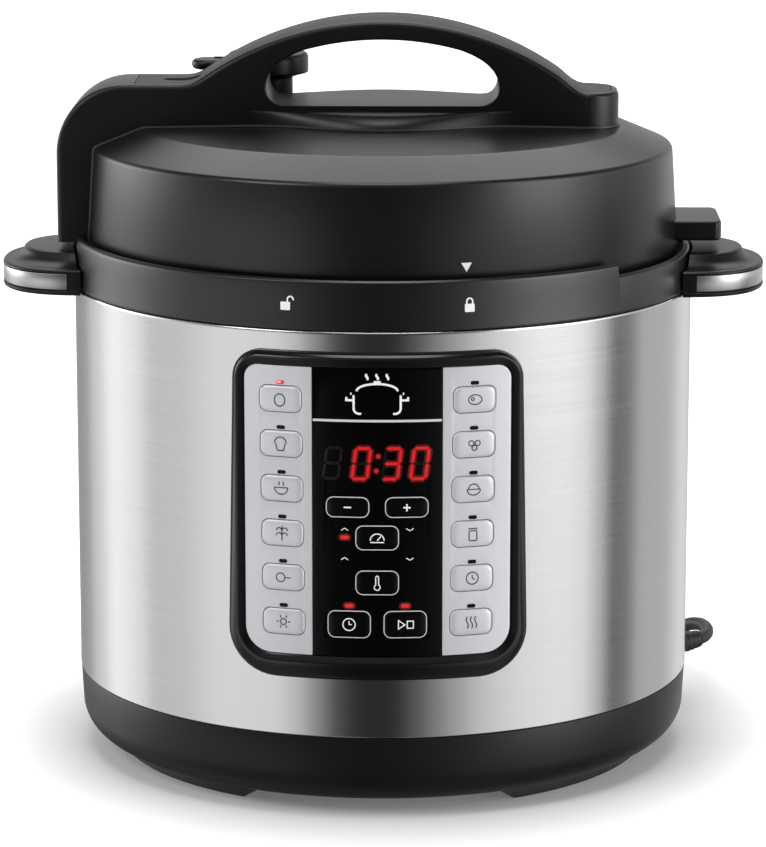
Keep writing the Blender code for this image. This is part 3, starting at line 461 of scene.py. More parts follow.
def make_world():
    """Surroundings whose brightness depends on azimuth and height, with a soft box high up behind."""
    world = bpy.data.worlds.new("studio")
    bpy.context.scene.world = world
    world.use_nodes = True
    tree = world.node_tree
    background = tree.nodes["Background"]
    place = node(tree, "ShaderNodeTexCoord").outputs["Generated"]
    parts = node(tree, "ShaderNodeSeparateXYZ", {"Vector": place}).outputs
    turn = maths(tree, "ARCTAN2", parts["X"], maths(tree, "MULTIPLY", parts["Y"], -1.0))
    share = spread(tree, turn, 0, 1, -pi, pi)
    height, soft = parts["Z"], "SMOOTHSTEP"
    horizon = spread(tree, height, 0, 1, -0.1, -0.045, soft)
    sides = node(tree, "ShaderNodeMix", {"Factor": horizon}, data_type="FLOAT")
    for socket, stops in ((2, BELOW), (3, ABOVE)):
        ramp = node(tree, "ShaderNodeValToRGB", {"Fac": share})
        ramp.color_ramp.interpolation = "EASE"
        while len(ramp.color_ramp.elements) < len(stops):
            ramp.color_ramp.elements.new(0.5)
        for element, (azimuth, bright) in zip(ramp.color_ramp.elements, stops):
            element.position = (azimuth + 180) / 360
            element.color = (*[bright / BRIGHTEST] * 3, 1)
        tree.links.new(maths(tree, "MULTIPLY", ramp.outputs["Color"], BRIGHTEST), sides.inputs[socket])
    even_higher_up = {"Factor": spread(tree, height, 0, 1, 0.22, 0.42, soft), 2: sides.outputs[0], 3: 0.3}
    round_about = node(tree, "ShaderNodeMix", even_higher_up, data_type="FLOAT").outputs[0]
    sunk = spread(tree, height, 0.3, 1, -0.55, -0.26, soft)
    fade = spread(tree, height, 1, 0.15, 0.55, 0.85, soft)
    behind = (0, cos(radians(52)), sin(radians(52)))
    aimed = node(tree, "ShaderNodeVectorMath", {0: place, 1: behind}, operation="DOT_PRODUCT")
    box = spread(tree, aimed.outputs["Value"], 0, 2.1, cos(radians(33)), cos(radians(10)), soft)
    faded = maths(tree, "MULTIPLY", round_about, maths(tree, "MULTIPLY", fade, sunk))
    light = maths(tree, "ADD", faded, box)
    seen = node(tree, "ShaderNodeLightPath").outputs["Is Camera Ray"]
    shown = node(tree, "ShaderNodeMix", {"Factor": seen}, data_type="FLOAT")
    tree.links.new(light, shown.inputs[2])
    shown.inputs[3].default_value = 1.0
    tree.links.new(shown.outputs[0], background.inputs["Strength"])
    background.inputs["Color"].default_value = (1, 1, 1, 1)


def make_floor():
    """A pale floor that glows, but only faintly near the object, which paints a shadow round its foot."""
    mesh = bpy.data.meshes.new("floor")
    far = 30
    mesh.from_pydata([(-far, -far, 0), (far, -far, 0), (far, far, 0), (-far, far, 0)], [], [(0, 1, 2, 3)])
    floor = bpy.data.objects.new("floor", mesh)
    bpy.context.scene.collection.objects.link(floor)
    pale = surface("pale_floor", (0.86, 0.86, 0.86), 0.9, Specular_IOR_Level=0.0)
    tree = pale.node_tree
    where = node(tree, "ShaderNodeTexCoord").outputs["Object"]
    away = node(tree, "ShaderNodeVectorMath", {0: where}, operation="LENGTH").outputs["Value"]
    # painted shadow: the glow is 0.12 within 0.12 m of the middle and rises to 0.85 by 0.24 m
    glow = spread(tree, away, 0.12, 0.85, 0.12, 0.24, "SMOOTHSTEP")
    tree.links.new(glow, tree.nodes["Principled BSDF"].inputs["Emission Strength"])
    tree.nodes["Principled BSDF"].inputs["Emission Color"].default_value = (1, 1, 1, 1)
    mesh.materials.append(pale)
    floor.visible_glossy = False


def make_lights():
    for name, place, aim, size, power in (
        ("key_light", (-1.3, -1.1, 1.5), (0, 0, 0.15), 0.9, 11),
        ("fill_light", (1.5, -0.9, 1.2), (0, 0, 0.2), 0.8, 4),
        ("top_light", (0, -0.35, 1.6), (0, 0, 0.2), 0.7, 7),
    ):
        data = bpy.data.lights.new(name, "AREA")
        data.size, data.energy = size, power
        lamp = bpy.data.objects.new(name, data)
        bpy.context.scene.collection.objects.link(lamp)
        lamp.location = place
        lamp.rotation_euler = (Vector(aim) - Vector(place)).to_track_quat("-Z", "Y").to_euler()
    settings = bpy.context.scene.view_settings
    settings.view_transform, settings.look, settings.exposure = "Standard", "None", 0.0


make_camera()
make_world()
make_floor()
make_lights()


# ---------------------------------------------------------------- cord

CORD_D = 6.2
CORD_ROUTE = [
    (145.9, 73.9, 23.3), (148.8, 78.6, 23.1), (150.6, 84.4, 23.0), (151.2, 91.0, 23.0),
    (150.5, 97.6, 23.0), (148.4, 104.2, 22.4), (144.9, 110.3, 20.8), (140.7, 116.0, 18.0),
    (136.1, 121.6, 14.4), (131.2, 127.2, 10.6), (126.3, 133.0, 7.3), (121.9, 139.2, 4.9),
    (117.6, 146.2, 3.6), (114.0, 153.9, 3.15),
]
RELIEF_ROUTE = [
    (113.3, 52.8, 23.8), (116.6, 54.4, 23.8), (126.4, 58.9, 23.8),
    (133.2, 62.4, 23.8), (139.2, 66.6, 23.7), (143.2, 70.6, 23.5), (145.4, 73.2, 23.3),
]
COIL_CENTRE = (78.0, 162.0)
COIL_OUTER, COIL_INNER = 34.1, 27.9
COIL_LOW, COIL_HIGH = 3.1, 9.3
COIL_TURN = 1170


def smooth_route(points, steps):
    """Points along a Catmull-Rom curve through the given ones."""
    line = [Vector(p) for p in points]
    line = [2 * line[0] - line[1], *line, 2 * line[-1] - line[-2]]
    made = []
    for n in range(1, len(line) - 2):
        a, b, c, d = line[n - 1:n + 3]
        for step in range(steps):
            t = step / steps
            made.append(0.5 * (2 * b + (c - a) * t + (2 * a - 5 * b + 4 * c - d) * t**2
                               + (3 * b - a - 3 * c + d) * t**3))
    return [*made, line[-2]]


def run_of(path):
    """The length of a path."""
    return sum((b - a).length for a, b in zip(path, path[1:]))


def ease(value, start, end):
    """Goes smoothly from 0 to 1 as a value goes from start to end."""
    t = min(1, max(0, (value - start) / (end - start)))
    return t * t * (3 - 2 * t)


def coil_points():
    """Two turns on the ground and then one and a quarter on top of them, leaving towards -X."""
    made = []
    for turn in range(0, COIL_TURN + 1, 15):
        inward = ease(turn, 240, 360) - ease(turn, 780, 900)
        radius = COIL_OUTER + (COIL_INNER - COIL_OUTER) * inward
        z = COIL_LOW + (COIL_HIGH - COIL_LOW) * ease(turn, 600, 720)
        x, y = arc(COIL_CENTRE, radius, turn, turn, 1)[0]
        made.append((x, y, z))
    return made


def make_cord():
    """The cord as a curve, and the plug at its end."""
    tail = (COIL_CENTRE[0] - 22.4, COIL_CENTRE[1] + COIL_OUTER, 9.5)
    coil = coil_points()
    path = smooth_route(CORD_ROUTE + [coil[0]], 2)[:-1]
    path += [Vector(p) for p in coil]
    path += [Vector((COIL_CENTRE[0] - 11, tail[1], 9.4)), Vector(tail)]
    length = run_of(path)
    curve = bpy.data.curves.new("mains_cord", "CURVE")
    curve.dimensions = "3D"
    curve.bevel_depth, curve.bevel_resolution, curve.use_fill_caps = CORD_D / 2 * MM, 6, True
    spline = curve.splines.new("POLY")
    spline.points.add(len(path) - 1)
    for point, place in zip(spline.points, path):
        point.co = (*(place * MM), 1)
    curve.materials.append(CORD_BLACK)
    cord = bpy.data.objects.new("mains_cord", curve)
    bpy.context.scene.collection.objects.link(cord)
    settle(cord, "root", ("power_cord", "cord_coil"), "cord_cover")

    shape = Shape()
    y, z, pin_z, blade_z = tail[1], 9.6, 15, 8.2
    sections = [  # distance from the tail, half width, half height, corner
        (0.2, 3.6, 3.4, 2.8), (1.5, 4.2, 3.9, 3.2), (4, 4.1, 3.9, 3.2), (5, 4.6, 4.2, 3.4),
        (6.5, 4.6, 4.2, 3.4), (7.5, 4.3, 4.1, 3.3), (8.5, 4.3, 4.1, 3.3), (9.5, 5.0, 4.5, 3.6),
        (11.5, 5.1, 4.6, 3.6), (12.5, 4.7, 4.5, 3.5), (13.5, 4.8, 4.6, 3.5), (15, 5.6, 5.1, 3.8),
        (17.5, 6.4, 5.8, 4.0), (20, 8.4, 7.2, 4.2), (23, 10.8, 8.6, 4.4), (27, 11.4, 9.2, 4.5),
        (36, 11.4, 9.4, 4.5), (44, 11.2, 9.4, 4.4), (46.5, 10.6, 9.1, 4.2), (48.5, 9.7, 8.5, 4.0),
        (49.7, 8.6, 7.6, 3.8)]
    rings = []
    for away, half, tall, corner in sections:
        outline = rounded(-half, half, -tall, tall, min(corner, tall - 0.1), steps=6)
        middle = max(z, tall + 0.25)
        rings.append([(tail[0] - away, y + a, middle + b) for a, b in outline])
    shape.rings(rings, CORD_BLACK)
    tip = tail[0] - 49
    for side in (-6.3, 6.3):
        blade = rounded(-0.75, 0.75, -3.15, 3.15, 0.3, steps=3)
        shape.rings([[(tip - away, y + side + a * less, blade_z + b * less) for a, b in blade]
                     for away, less in ((-0.5, 1), (17.2, 1), (18.5, 0.82))], BRASS)
    shape.tube([(tip - away, y, pin_z) for away in (-0.5, 18.5, 20, 20.8)], [2.3, 2.3, 1.9, 1.0], BRASS)
    plug = shape.make("mains_plug", "root", "cord_plug", slot="cord_cover")


def make_boot():
    """The ribbed sleeve where the cord leaves the base."""
    route = smooth_route(RELIEF_ROUTE, 8)
    total = run_of(route)
    flange_r, start_r, end_r, groove = 7.6, 6.1, 4.0, 0.75
    first, last, pitch = 0.45, 0.97, 0.083  # of the grooves, as shares of the length
    radii, run = [], 0.0
    for number, point in enumerate(route):
        run += (point - route[number - 1]).length if number else 0
        share = run / total
        body = start_r - (start_r - end_r) * share**2.2
        if first < share < last:
            body -= groove * (0.5 + 0.5 * sin(2 * pi * (share - first) / pitch - pi / 2))
        radii.append(flange_r if share < 0.08 else body)
    boot = Shape().tube(route, radii, CORD_BLACK, sides=28)
    boot.make("cord_boot", "root", "strain_relief", slot="cord_cover")


make_cord()
make_boot()


# ---------------------------------------------------------------- body


BODY_R = 135  # of the steel sleeve
FOOT_INNER, FOOT_OUTER, FOOT_SWEEP = 108, 118, 52  # radii, and degrees round the base
RIM_LEFT, RIM_RIGHT = 279.5 - 360, 48  # azimuths between which the collar's rim stands higher


def make_base():
    profile = [(134.1, 35.7), (134.6, 35.55), (134.8, 35.1)] + arc((119, 20), 15, 0, -90, 18, tall=14.4 / 15)
    profile += [(100.6, 5.6), (100, 6.2), (100, 8.1)] + arc((119, 20), 12.5, -90, 0, 12, tall=11.9 / 12.5)
    profile += [(132.3, 35.7)]
    base = Shape().lathe(profile, BASE_BLACK).make("base")
    exit_turn, exit_z, exit_r = radians(25), 23.8, 6.6
    ends = [(radius * cos(exit_turn), radius * sin(exit_turn), exit_z) for radius in (118, 145)]
    boolean(base, "DIFFERENCE", Shape().tube(ends, [exit_r, exit_r], SATIN, sides=48).make("relief_hole"))
    settle(base, "root", "base_shell", "black_plastic")
    cover = [(0, 8.1), (99.7, 8.1), (99.7, 6.8), (99.0, 6.1), (86, 6.1), (85.5, 6.7), (82.5, 6.7), (82, 6.1),
             (0, 6.1)]
    Shape().lathe(cover, SATIN).make("bottom_plate", "root", "bottom_cover", slot="black_plastic")
    for name, start in (("front_right", 28), ("front_left", -80), ("rear_right", 100), ("rear_left", -152)):
        rings = []
        for less, slant, z in ((0, 0, 5.3), (0, 0.1, 2.6), (0.2, 0.5, 1.4), (0.5, 1.0, 0.5), (1.1, 1.6, 0)):
            inner, outer = FOOT_INNER + less, FOOT_OUTER - less
            a, b = start + slant, start + FOOT_SWEEP - slant
            ring = [azimuth_point(outer, a + (b - a) * n / 40, z) for n in range(41)]
            ring += [azimuth_point(inner, b - (b - a) * n / 40, z) for n in range(41)]
            rings.append(ring)
        Shape().rings(rings, RUBBER).make("pad_" + name, "root", "foot_" + name, slot="rubber_feet")


def make_sleeve():
    profile = [(BODY_R, z) for z in (206.2, 205.6, 36.9, 36.3)]
    profile += [(134.8, 36), (134.3, 36), (134.2, 36.2), (134.2, 206.9), (134.3, 207), (134.5, 206.97),
                (134.75, 206.8), (134.93, 206.55)]
    sleeve = Shape().lathe(profile[::-1], STEEL, turns=all_round(240)).make("sleeve")
    half = BODY_R * sin(radians(24.3))
    front = upright("opening", rounded(-half, half, 69.5, 194.3, 6, 12), -150, -90, STEEL)
    rear = upright("cup_opening", rounded(-34, 34, 156.5, 203.5, 3), 100, 150, STEEL)
    boolean(sleeve, "DIFFERENCE", front, rear)
    settle(sleeve, "root", "outer_shell", "brushed_steel")


def make_collar():
    turns = [2 * n for n in range(-60, 120)]
    for step in (RIM_RIGHT, RIM_LEFT):
        turns += [step + 0.05 * n for n in range(-6, 7)]
    turns = sorted({round(t, 3) for t in turns})

    def drop(turn, radius, z):
        """The rim is 5 mm lower behind, from the step at the right to the one at the left."""
        if z < 220:
            return z
        half = 0.15
        past_left = ease(turn, RIM_LEFT - half, RIM_LEFT + half)
        past_right = ease(turn, RIM_RIGHT - half, RIM_RIGHT + half)
        return z - 5 * (1 - past_left * (1 - past_right))

    profile = soften([
        (131.5, 228, 0.3), (133.3, 228, 0.6), (134.1, 227.1, 0.6), (134.25, 225.6), (134.38, 219.9),
        (134.95, 208.2, 0.6), (134.95, 207.3, 0.5), (130.5, 207.3), (130.5, 210.5), (117, 210.5),
        (117, 215, 0.4), (118.4, 215, 0.4), (118.4, 213, 0.5), (131.5, 213, 0.5), (131.5, 224)],
        closed=True, steps=4)
    collar = Shape().lathe(profile, COLLAR_BLACK, turns=turns, drop=drop).make("collar_ring")
    boolean(collar, "DIFFERENCE", rod("drain", 0, 124.5, 200, 222, 3, SATIN, 32))
    settle(collar, "root", "collar", "black_plastic")


GRIP_CENTRE, GRIP_LONG, GRIP_WIDE, GRIP_POWER = 129, 37.56, 40.8, 0.84


def oval(less_x, less_y, z, steps=144):
    """A ring round the grip, a little squarer than an ellipse and smaller by an inset on each axis."""
    ring = []
    for n in range(steps):
        x, y = cos(2 * pi * n / steps), sin(2 * pi * n / steps)
        ring.append((GRIP_CENTRE + (GRIP_LONG - less_x) * copysign(abs(x) ** GRIP_POWER, x),
                     (GRIP_WIDE - less_y) * copysign(abs(y) ** GRIP_POWER, y), z))
    return ring


def make_side_handles():
    levels = [  # inset along X, inset along Y, height
        (3, 3, 205), (1.0, 1.0, 205.1), (0.3, 0.3, 205.5), (0, 0, 206.2), (0, 0, 206.9), (0.3, 0.3, 207.2),
        (1.5, 1.5, 207.2), (1.5, 1.5, 214.9), (0.25, 0.25, 214.9), (0, 0, 215.1), (0.1, 0.1, 215.6),
        (0.5, 0.5, 216.0), (1.2, 1.2, 216.25), (2.2, 2.3, 216.3), (3.6, 4.2, 216.1), (5.4, 7.2, 216.5),
        (6.8, 9.6, 217.2), (7.8, 11.4, 218.1), (8.4, 12.6, 219.2), (8.9, 13.4, 220.3), (9.3, 14.1, 221.1),
        (9.9, 14.9, 221.6), (10.9, 16.0, 221.9), (12.4, 17.6, 222), (20, 25, 222)]
    for side, turn in (("left", pi), ("right", 0)):
        handle = Shape().rings([oval(*level) for level in levels], SATIN).make("grip")
        root = Shape().rings([oval(0.06, 0.05, z) for z in (206.5, 214.95)], SATIN).make("root_block")
        boolean(root, "INTERSECT", boxed("root_part", (100, -60, 200), (134.9, 60, 220), SATIN))
        boolean(handle, "UNION", root)
        body = [(0, 240), (135.6, 240), (135.6, 190), (0, 190)]
        boolean(handle, "DIFFERENCE", Shape().lathe(body, SATIN, turns=all_round(240)).make("clearance"))
        handle.data.transform(Matrix.Rotation(turn, 4, "Z"))
        settle(handle, "root", f"side_handle_{side}", "black_plastic")
        edge = [(1.2, 214.5), (0.5, 214.5), (0.28, 214.42), (0.2, 214.2), (0.2, 207.9), (0.28, 207.68),
                (0.5, 207.6), (1.2, 207.6)]
        rings = [oval(less, less, z) for less, z in edge]
        trim = Shape().rings(rings, TRIM, loop=True).make("grip_trim")
        boolean(trim, "DIFFERENCE", boxed("trim_end", (80, -60, 200), (135.3, 60, 220), TRIM))
        trim.data.transform(Matrix.Rotation(turn, 4, "Z"))
        settle(trim, "root", f"handle_trim_{side}", "polished_steel")


make_base()
make_sleeve()
make_collar()
make_side_handles()


# ---------------------------------------------------------------- pots and heater


def lugs(shape, inner, outer, low, high, made_of):
    """Six bayonet lugs of 26 degrees with rounded edges."""
    half, steps = 13, 14
    for number in range(6):
        rings = []
        for less, slant, z in ((0.5, 0.3, low), (0, 0, low + 0.5), (0, 0, high - 0.5), (0.5, 0.3, high)):
            a, b = number * 60 - half + slant, number * 60 + half - slant
            edge = outer - less if outer > inner else outer + less
            ring = [azimuth_point(edge, a + (b - a) * n / steps, z) for n in range(steps + 1)]
            ring += [azimuth_point(inner, b - (b - a) * n / steps, z) for n in range(steps + 1)]
            rings.append(ring)
        shape.rings(rings, made_of)


def make_pots():
    housing = soften([(118, 225, 0.6), (118, 222, 0.6), (116, 222, 0.8), (116, 46, 14), (30, 46, 0.5),
                      (30, 48, 0.5), (114, 48, 12), (114, 225, 0.6)], closed=True, steps=8)
    shape = Shape().lathe(housing, ALUMINIUM)
    lugs(shape, 117, 122.5, 222, 225, ALUMINIUM)
    shape.make("housing_pot", "root", "outer_pot", slot="aluminium")
    pot = soften([(0, 64.8), (110, 64.8, 11), (110, 226, 0.3), (113, 226, 0.7), (113, 224.5, 0.5),
                  (111, 223, 1), (111, 63.8, 12), (0, 63.8)], steps=8)
    Shape().lathe(pot, POLISHED).make("cooking_pot", "heater", "inner_pot", slot="polished_steel")
    plate_line = soften([(81, 63.5, 1), (85, 60.5, 1.5), (85, 53.5, 0.6), (19.5, 53.5, 0.4),
                         (19.5, 63.5, 0.6)], closed=True)
    Shape().lathe(plate_line, ALUMINIUM).make("hot_plate", "heater", "heating_plate", slot="aluminium")
    sensor = soften([(0, 63.5), (17.5, 63.5, 1.2), (17.5, 56.5, 0.5), (6, 56.5, 0.8), (6, 40, 0.6), (0, 40)])
    Shape().lathe(sensor, ALUMINIUM, turns=all_round(72)).make(
        "sensor_disc", "sensor", "temperature_sensor", slot="aluminium")


make_pots()


# ---------------------------------------------------------------- control panel

PANEL_R = 136.6
BEZEL_R = 137.8
WINDOW_HALF = PANEL_R * radians(11.25)
FACE_HALF = BODY_R * sin(radians(24.27))
KEY_WIDE, KEY_CORNER = 18.0, 3.2
TOP_ROW_Z, ROW_PITCH = 178.7, 18.76  # of the outer keys
MARK_S = 13.4  # of the chevrons, round the panel from its middle
SIDE_AZIMUTH, SIDE_STEP = 16.93, 0.096  # of the top row, and what each row below is nearer the middle


def on_panel(s, z, radius):
    """A point a distance s round the panel from its middle."""
    return azimuth_point(radius, degrees(s / PANEL_R), z)


def face_outline(half, low, high, top, bottom, steps=10):
    """A rounded rectangle as seen from the front, in distances round the panel, with points on its sides."""
    line = rounded(-half, half, low, high, top, bottom, steps)
    dense = []
    for number, (x, z) in enumerate(line):
        after = line[(number + 1) % len(line)]
        count = max(1, int(abs(after[0] - x) / 2.5))
        dense += [(x + (after[0] - x) * n / count, z + (after[1] - z) * n / count) for n in range(count)]
    return [(PANEL_R * asin(x / BEZEL_R), z) for x, z in dense]


def wrapped(name, outline, inner, outer, made_of, bevel=0.0, holes=()):
    """A plate bent round the body, from the inner to the outer radius."""
    obj = plate(name, outline, 0, outer - inner, made_of, bevel, holes)
    bm = bmesh.new()
    bm.from_mesh(obj.data)
    low, high = min(x for x, _ in outline), max(x for x, _ in outline)
    step = 2.5
    at_x = (int(low / step) - 1) * step
    while at_x < high:
        if at_x > low:
            geometry = bm.verts[:] + bm.edges[:] + bm.faces[:]
            bmesh.ops.bisect_plane(
                bm, geom=geometry, plane_co=(at_x * MM, 0, 0), plane_no=(1, 0, 0), dist=1e-7)
        at_x += step
    for vert in bm.verts:
        s, z, up = (c / MM for c in vert.co)
        vert.co = Vector(on_panel(s, z, inner + up)) * MM
    bm.to_mesh(obj.data)
    bm.free()
    tidy_mesh(obj, 25)
    return obj


def key_places():
    """Every key by name: its middle's place round the panel and height, its width and how tall it is."""
    places = {}
    for side, sign in (("left", -1), ("right", 1)):
        for row in range(6):
            places[f"key_{side}_{row + 1}"] = (
                sign * (SIDE_AZIMUTH - row * SIDE_STEP), TOP_ROW_Z - row * ROW_PITCH, 10.8)
    places.update({
        "key_minus": (-5.1, 134.6, 8.8), "key_plus": (5.1, 134.6, 8.8),
        "key_pressure": (0, 121.8, 10.5), "key_temperature": (0, 102.8, 10.5),
        "key_delay": (-4.85, 85.1, 11.7), "key_start": (4.85, 85.1, 11.7)})
    return {name: (PANEL_R * radians(a), z, KEY_WIDE, tall) for name, (a, z, tall) in places.items()}


def key_outline(middle, height, width, tall, less=0.0, steps=6):
    return rounded(middle - width / 2 + less, middle + width / 2 - less, height - tall / 2 + less,
                   height + tall / 2 - less, max(0.2, KEY_CORNER - less), steps=steps)


def circle(x, y, radius, start=0, end=360, steps=20):
    return arc((x, y), radius, start, end, steps)


def stroke(shape, line, width, place, made_of, closed=False):
    """A thin raised line along points, put in place by a function of (x, y, height)."""
    points = [Vector(p) for p in line]
    if (points[0] - points[-1]).length < 1e-4:
        points, closed = points[:-1], True
    count = len(points)
    rings = []
    for n, point in enumerate(points):
        back = (point - points[n - 1]) if closed or n else (points[1] - point)
        on = (points[(n + 1) % count] - point) if closed or n < count - 1 else back
        back, on = back.normalized(), on.normalized()
        along = (back + on).normalized() if (back + on).length > 0.2 else on
        side = Vector((-along.y, along.x)) * (width / 2) / max(0.5, abs(along.dot(on)))
        left, right = point + side, point - side
        rings.append([place(left.x, left.y, 0), place(right.x, right.y, 0), place(right.x, right.y, 1),
                      place(left.x, left.y, 1)])
    return shape.rings(rings, made_of, loop=closed)


PICTURES = {  # simple cooking pictures, in a square from -1 to 1
    "key_left_1": [arc((0, -0.15), 0.75, 0, 360, 24, tall=1.15)],
    "key_left_2": [[(-0.7, 0.1), (-0.45, -0.9), (0.45, -0.9), (0.7, 0.1)], circle(0, 0.1, 0.85, 0, 180)],
    "key_left_3": [[(-1, 0.15), (1, 0.15)], arc((0, 0.15), 0.95, 180, 360, 20), [(-0.3, 0.45), (-0.3, 0.95)],
                   [(0.3, 0.45), (0.3, 0.95)]],
    "key_left_4": [[(0, -1), (0, 1)], arc((0.4, 0.35), 0.4, 180, 0, 8), arc((-0.4, 0.35), 0.4, 0, 180, 8),
                   arc((0.4, -0.35), 0.4, 180, 0, 8), arc((-0.4, -0.35), 0.4, 0, 180, 8)],
    "key_left_5": [circle(-0.3, 0, 0.62), [(0.32, 0), (1.2, 0)]],
    "key_left_6": [circle(0, 0, 0.42)] + [
        [(0.65 * cos(radians(a)), 0.65 * sin(radians(a))), (cos(radians(a)), sin(radians(a)))]
        for a in range(0, 360, 60)],
    "key_right_1": [arc((0, 0), 0.95, 0, 360, 24, tall=0.72), circle(-0.35, 0.1, 0.2)],
    "key_right_2": [circle(-0.45, 0.2, 0.36), circle(0.45, 0.2, 0.36), circle(0, -0.45, 0.36)],
    "key_right_3": [[(-1, 0), (1, 0)], arc((0, 0), 0.95, 180, 360, 20, tall=0.85),
                    arc((0, 0), 0.75, 0, 180, 14)],
    "key_right_4": [rounded(-0.55, 0.55, -0.95, 0.45, 0.2, steps=4) + [(0.55, 0.25)],
                    [(-0.65, 0.75), (0.65, 0.75)]],
    "key_right_5": [circle(0, 0, 0.85), [(0, 0.5), (0, 0), (0.4, -0.2)]],
    "key_right_6": [[(x + 0.16 * sin(t * pi / 4), -0.85 + 0.21 * t) for t in range(9)]
                    for x in (-0.6, 0, 0.6)],
    "key_minus": [[(-0.75, 0), (0.75, 0)]],
    "key_plus": [[(-0.75, 0), (0.75, 0)], [(0, -0.75), (0, 0.75)]],
    "key_pressure": [arc((0, -0.35), 0.95, 0, 180, 20), [(0, -0.35), (0.5, 0.25)],
                     [(-0.95, -0.6), (0.95, -0.6)]],
    "key_temperature": [arc((0, -0.6), 0.4, 120, 420, 16), [(-0.2, -0.25), (-0.2, 0.8)],
                        [(0.2, -0.25), (0.2, 0.8)], arc((0, 0.8), 0.2, 0, 180, 8)],
    "key_delay": [circle(0, 0, 0.85), [(0, 0.5), (0, 0), (0.38, 0)]],
    "key_start": [[(-0.95, -0.6), (-0.95, 0.6), (-0.05, 0), (-0.95, -0.6)],
                  [(0.25, -0.5), (0.25, 0.5), (1.1, 0.5), (1.1, -0.5), (0.25, -0.5)]],
}


def make_keys():
    """Each key as a rounded cap with its picture; the centre keys have a rim line too."""
    for name, (middle, height, width, tall) in key_places().items():
        centre_key = abs(middle) < WINDOW_HALF
        made_of = KEY_BLACK if centre_key else SILVER
        levels = [(0, 134), (0, 136.5), (0.12, 136.72), (0.5, 136.95), (1.0, 137.1), (1.7, 137.2),
                  (2.6, 137.24), (tall / 2 - 0.6, 137.26)]
        rings = [[on_panel(s, z, radius) for s, z in key_outline(middle, height, width, tall, less)]
                 for less, radius in levels]
        shape = Shape().rings(rings, made_of)
        ink = WHITE_INK if centre_key else DARK_INK

        def place(x, y, up):
            return on_panel(middle + x, height + y, 137.12 + 0.18 * up)

        def rim_place(x, y, up):
            return on_panel(middle + x, height + y, 136.6 + 0.3 * up)

        if centre_key:
            line = [(s - middle, z - height) for s, z in key_outline(middle, height, width, tall, 0.24)]
            stroke(shape, line, 0.36, rim_place, GREY_INK, closed=True)
        size, weight = (2.0, 0.62) if name in ("key_minus", "key_plus") else (3.0, 0.44)
        for line in PICTURES[name]:
            stroke(shape, [(x * size, y * size) for x, y in line], weight, place, ink)
        shape.make(name + "_cap", name, name, slot="gloss_black" if centre_key else "silver_film")


def pill(shape, s, z, half, tall, made_of, low=PANEL_R - 0.2, proud=0.22):
    """A small raised lamp with round ends."""
    rings, top = [], PANEL_R + proud
    for less, radius in ((0, low), (0, top - 0.08), (0.08, top), (0.35, top)):
        outline = rounded(s - half + less, s + half - less, z - tall + less, z + tall - less,
                          tall - less - 0.02, steps=6)
        rings.append([on_panel(a, b, radius) for a, b in outline])
    shape.rings(rings, made_of)


SEGMENTS = {"0": "abcdef", "3": "abcdg"}
# the two wider rings round a lit segment are painted glow on the window
LIT = (0, 0.06, RED_ON), (0.35, 0.04, RED_PAINTED_HALO), (0.9, 0.02, RED_PAINTED_GLOW)  # how much wider, height, material
UNLIT = ((0, 0.02, RED_OFF),)
DIGIT_BASE, DIGIT_LEAN = 145.9, 0.13


def digit(shape, left, shown, width=7.4, tall=14.0, thick=1.25):
    """A seven-segment digit with a painted glow round its lit segments; the others are faint."""
    half, gap = thick / 2, 0.2
    x0, x1, y0, y1, ym = half, width - half, half, tall - half, tall / 2
    ends = {"a": ((x0, y1), (x1, y1)), "b": ((x1, y1), (x1, ym)), "c": ((x1, ym), (x1, y0)),
            "d": ((x0, y0), (x1, y0)), "e": ((x0, ym), (x0, y0)), "f": ((x0, y1), (x0, ym)),
            "g": ((x0, ym), (x1, ym))}
    for segment, (start, end) in ends.items():
        start, end = Vector(start), Vector(end)
        along = (end - start).normalized()
        side = Vector((-along.y, along.x))
        start, end = start + along * gap, end - along * gap
        first, last = start + along * half, end - along * half
        for grown, top, made_of in LIT if segment in SEGMENTS.get(shown, "") else UNLIT:
            wide = side * (half + grown)
            outline = [start - along * grown, first + wide, last + wide, end + along * grown, last - wide,
                       first - wide]
            line = [(left + p.x + DIGIT_LEAN * p.y, DIGIT_BASE + p.y) for p in outline]
            shape.rings([[on_panel(s, z, PANEL_R + up) for s, z in line] for up in (-0.1, top)], made_of)


def make_bezel():
    half_out, middle, flare = 61.65, 129.9, 0.000345

    def border(less):
        """The bezel's outer outline, which is wider below."""
        line = face_outline(half_out - less, 61.1 + less, 198.7 - less, 12 - less, 20 - less)
        return [(s * (1 + flare * (middle - z)), z) for s, z in line]

    def opening(more):
        return face_outline(FACE_HALF + more, 71 - more, 192.8 + more, 6 + more, 11 + more)

    outer = [border(less) for less in (0, 0, 0.12, 0.4, 0.9, 1.05)]
    inner = [opening(more) for more in (3.0, 2.6, 1.8, 0.9, 0.3, 0, 0)]
    bigger = max(len(line) for line in outer + inner)
    outer, inner = [[resampled(line, bigger) for line in lines] for lines in (outer, inner)]
    rings = [[on_panel(s, z, radius) for s, z in line]
             for line, radius in zip(outer, (135.3, 136.0, 136.3, 136.42, 136.45, 136.6))]
    for share in (0.12, 0.3, 0.5, 0.7, 0.85):
        rings.append([on_panel(a[0] + (b[0] - a[0]) * share, a[1] + (b[1] - a[1]) * share,
                               136.6 + 1.2 * sin(share * pi / 2)) for a, b in zip(outer[-1], inner[0])])
    rings += [[on_panel(s, z, radius) for s, z in line]
              for line, radius in zip(inner, (137.8, 137.72, 137.42, 137.08, 136.88, 136.7, 135.3))]
    Shape().rings(rings, BEZEL_BLACK, loop=True).make("bezel", "root", "panel_bezel", slot="black_plastic")


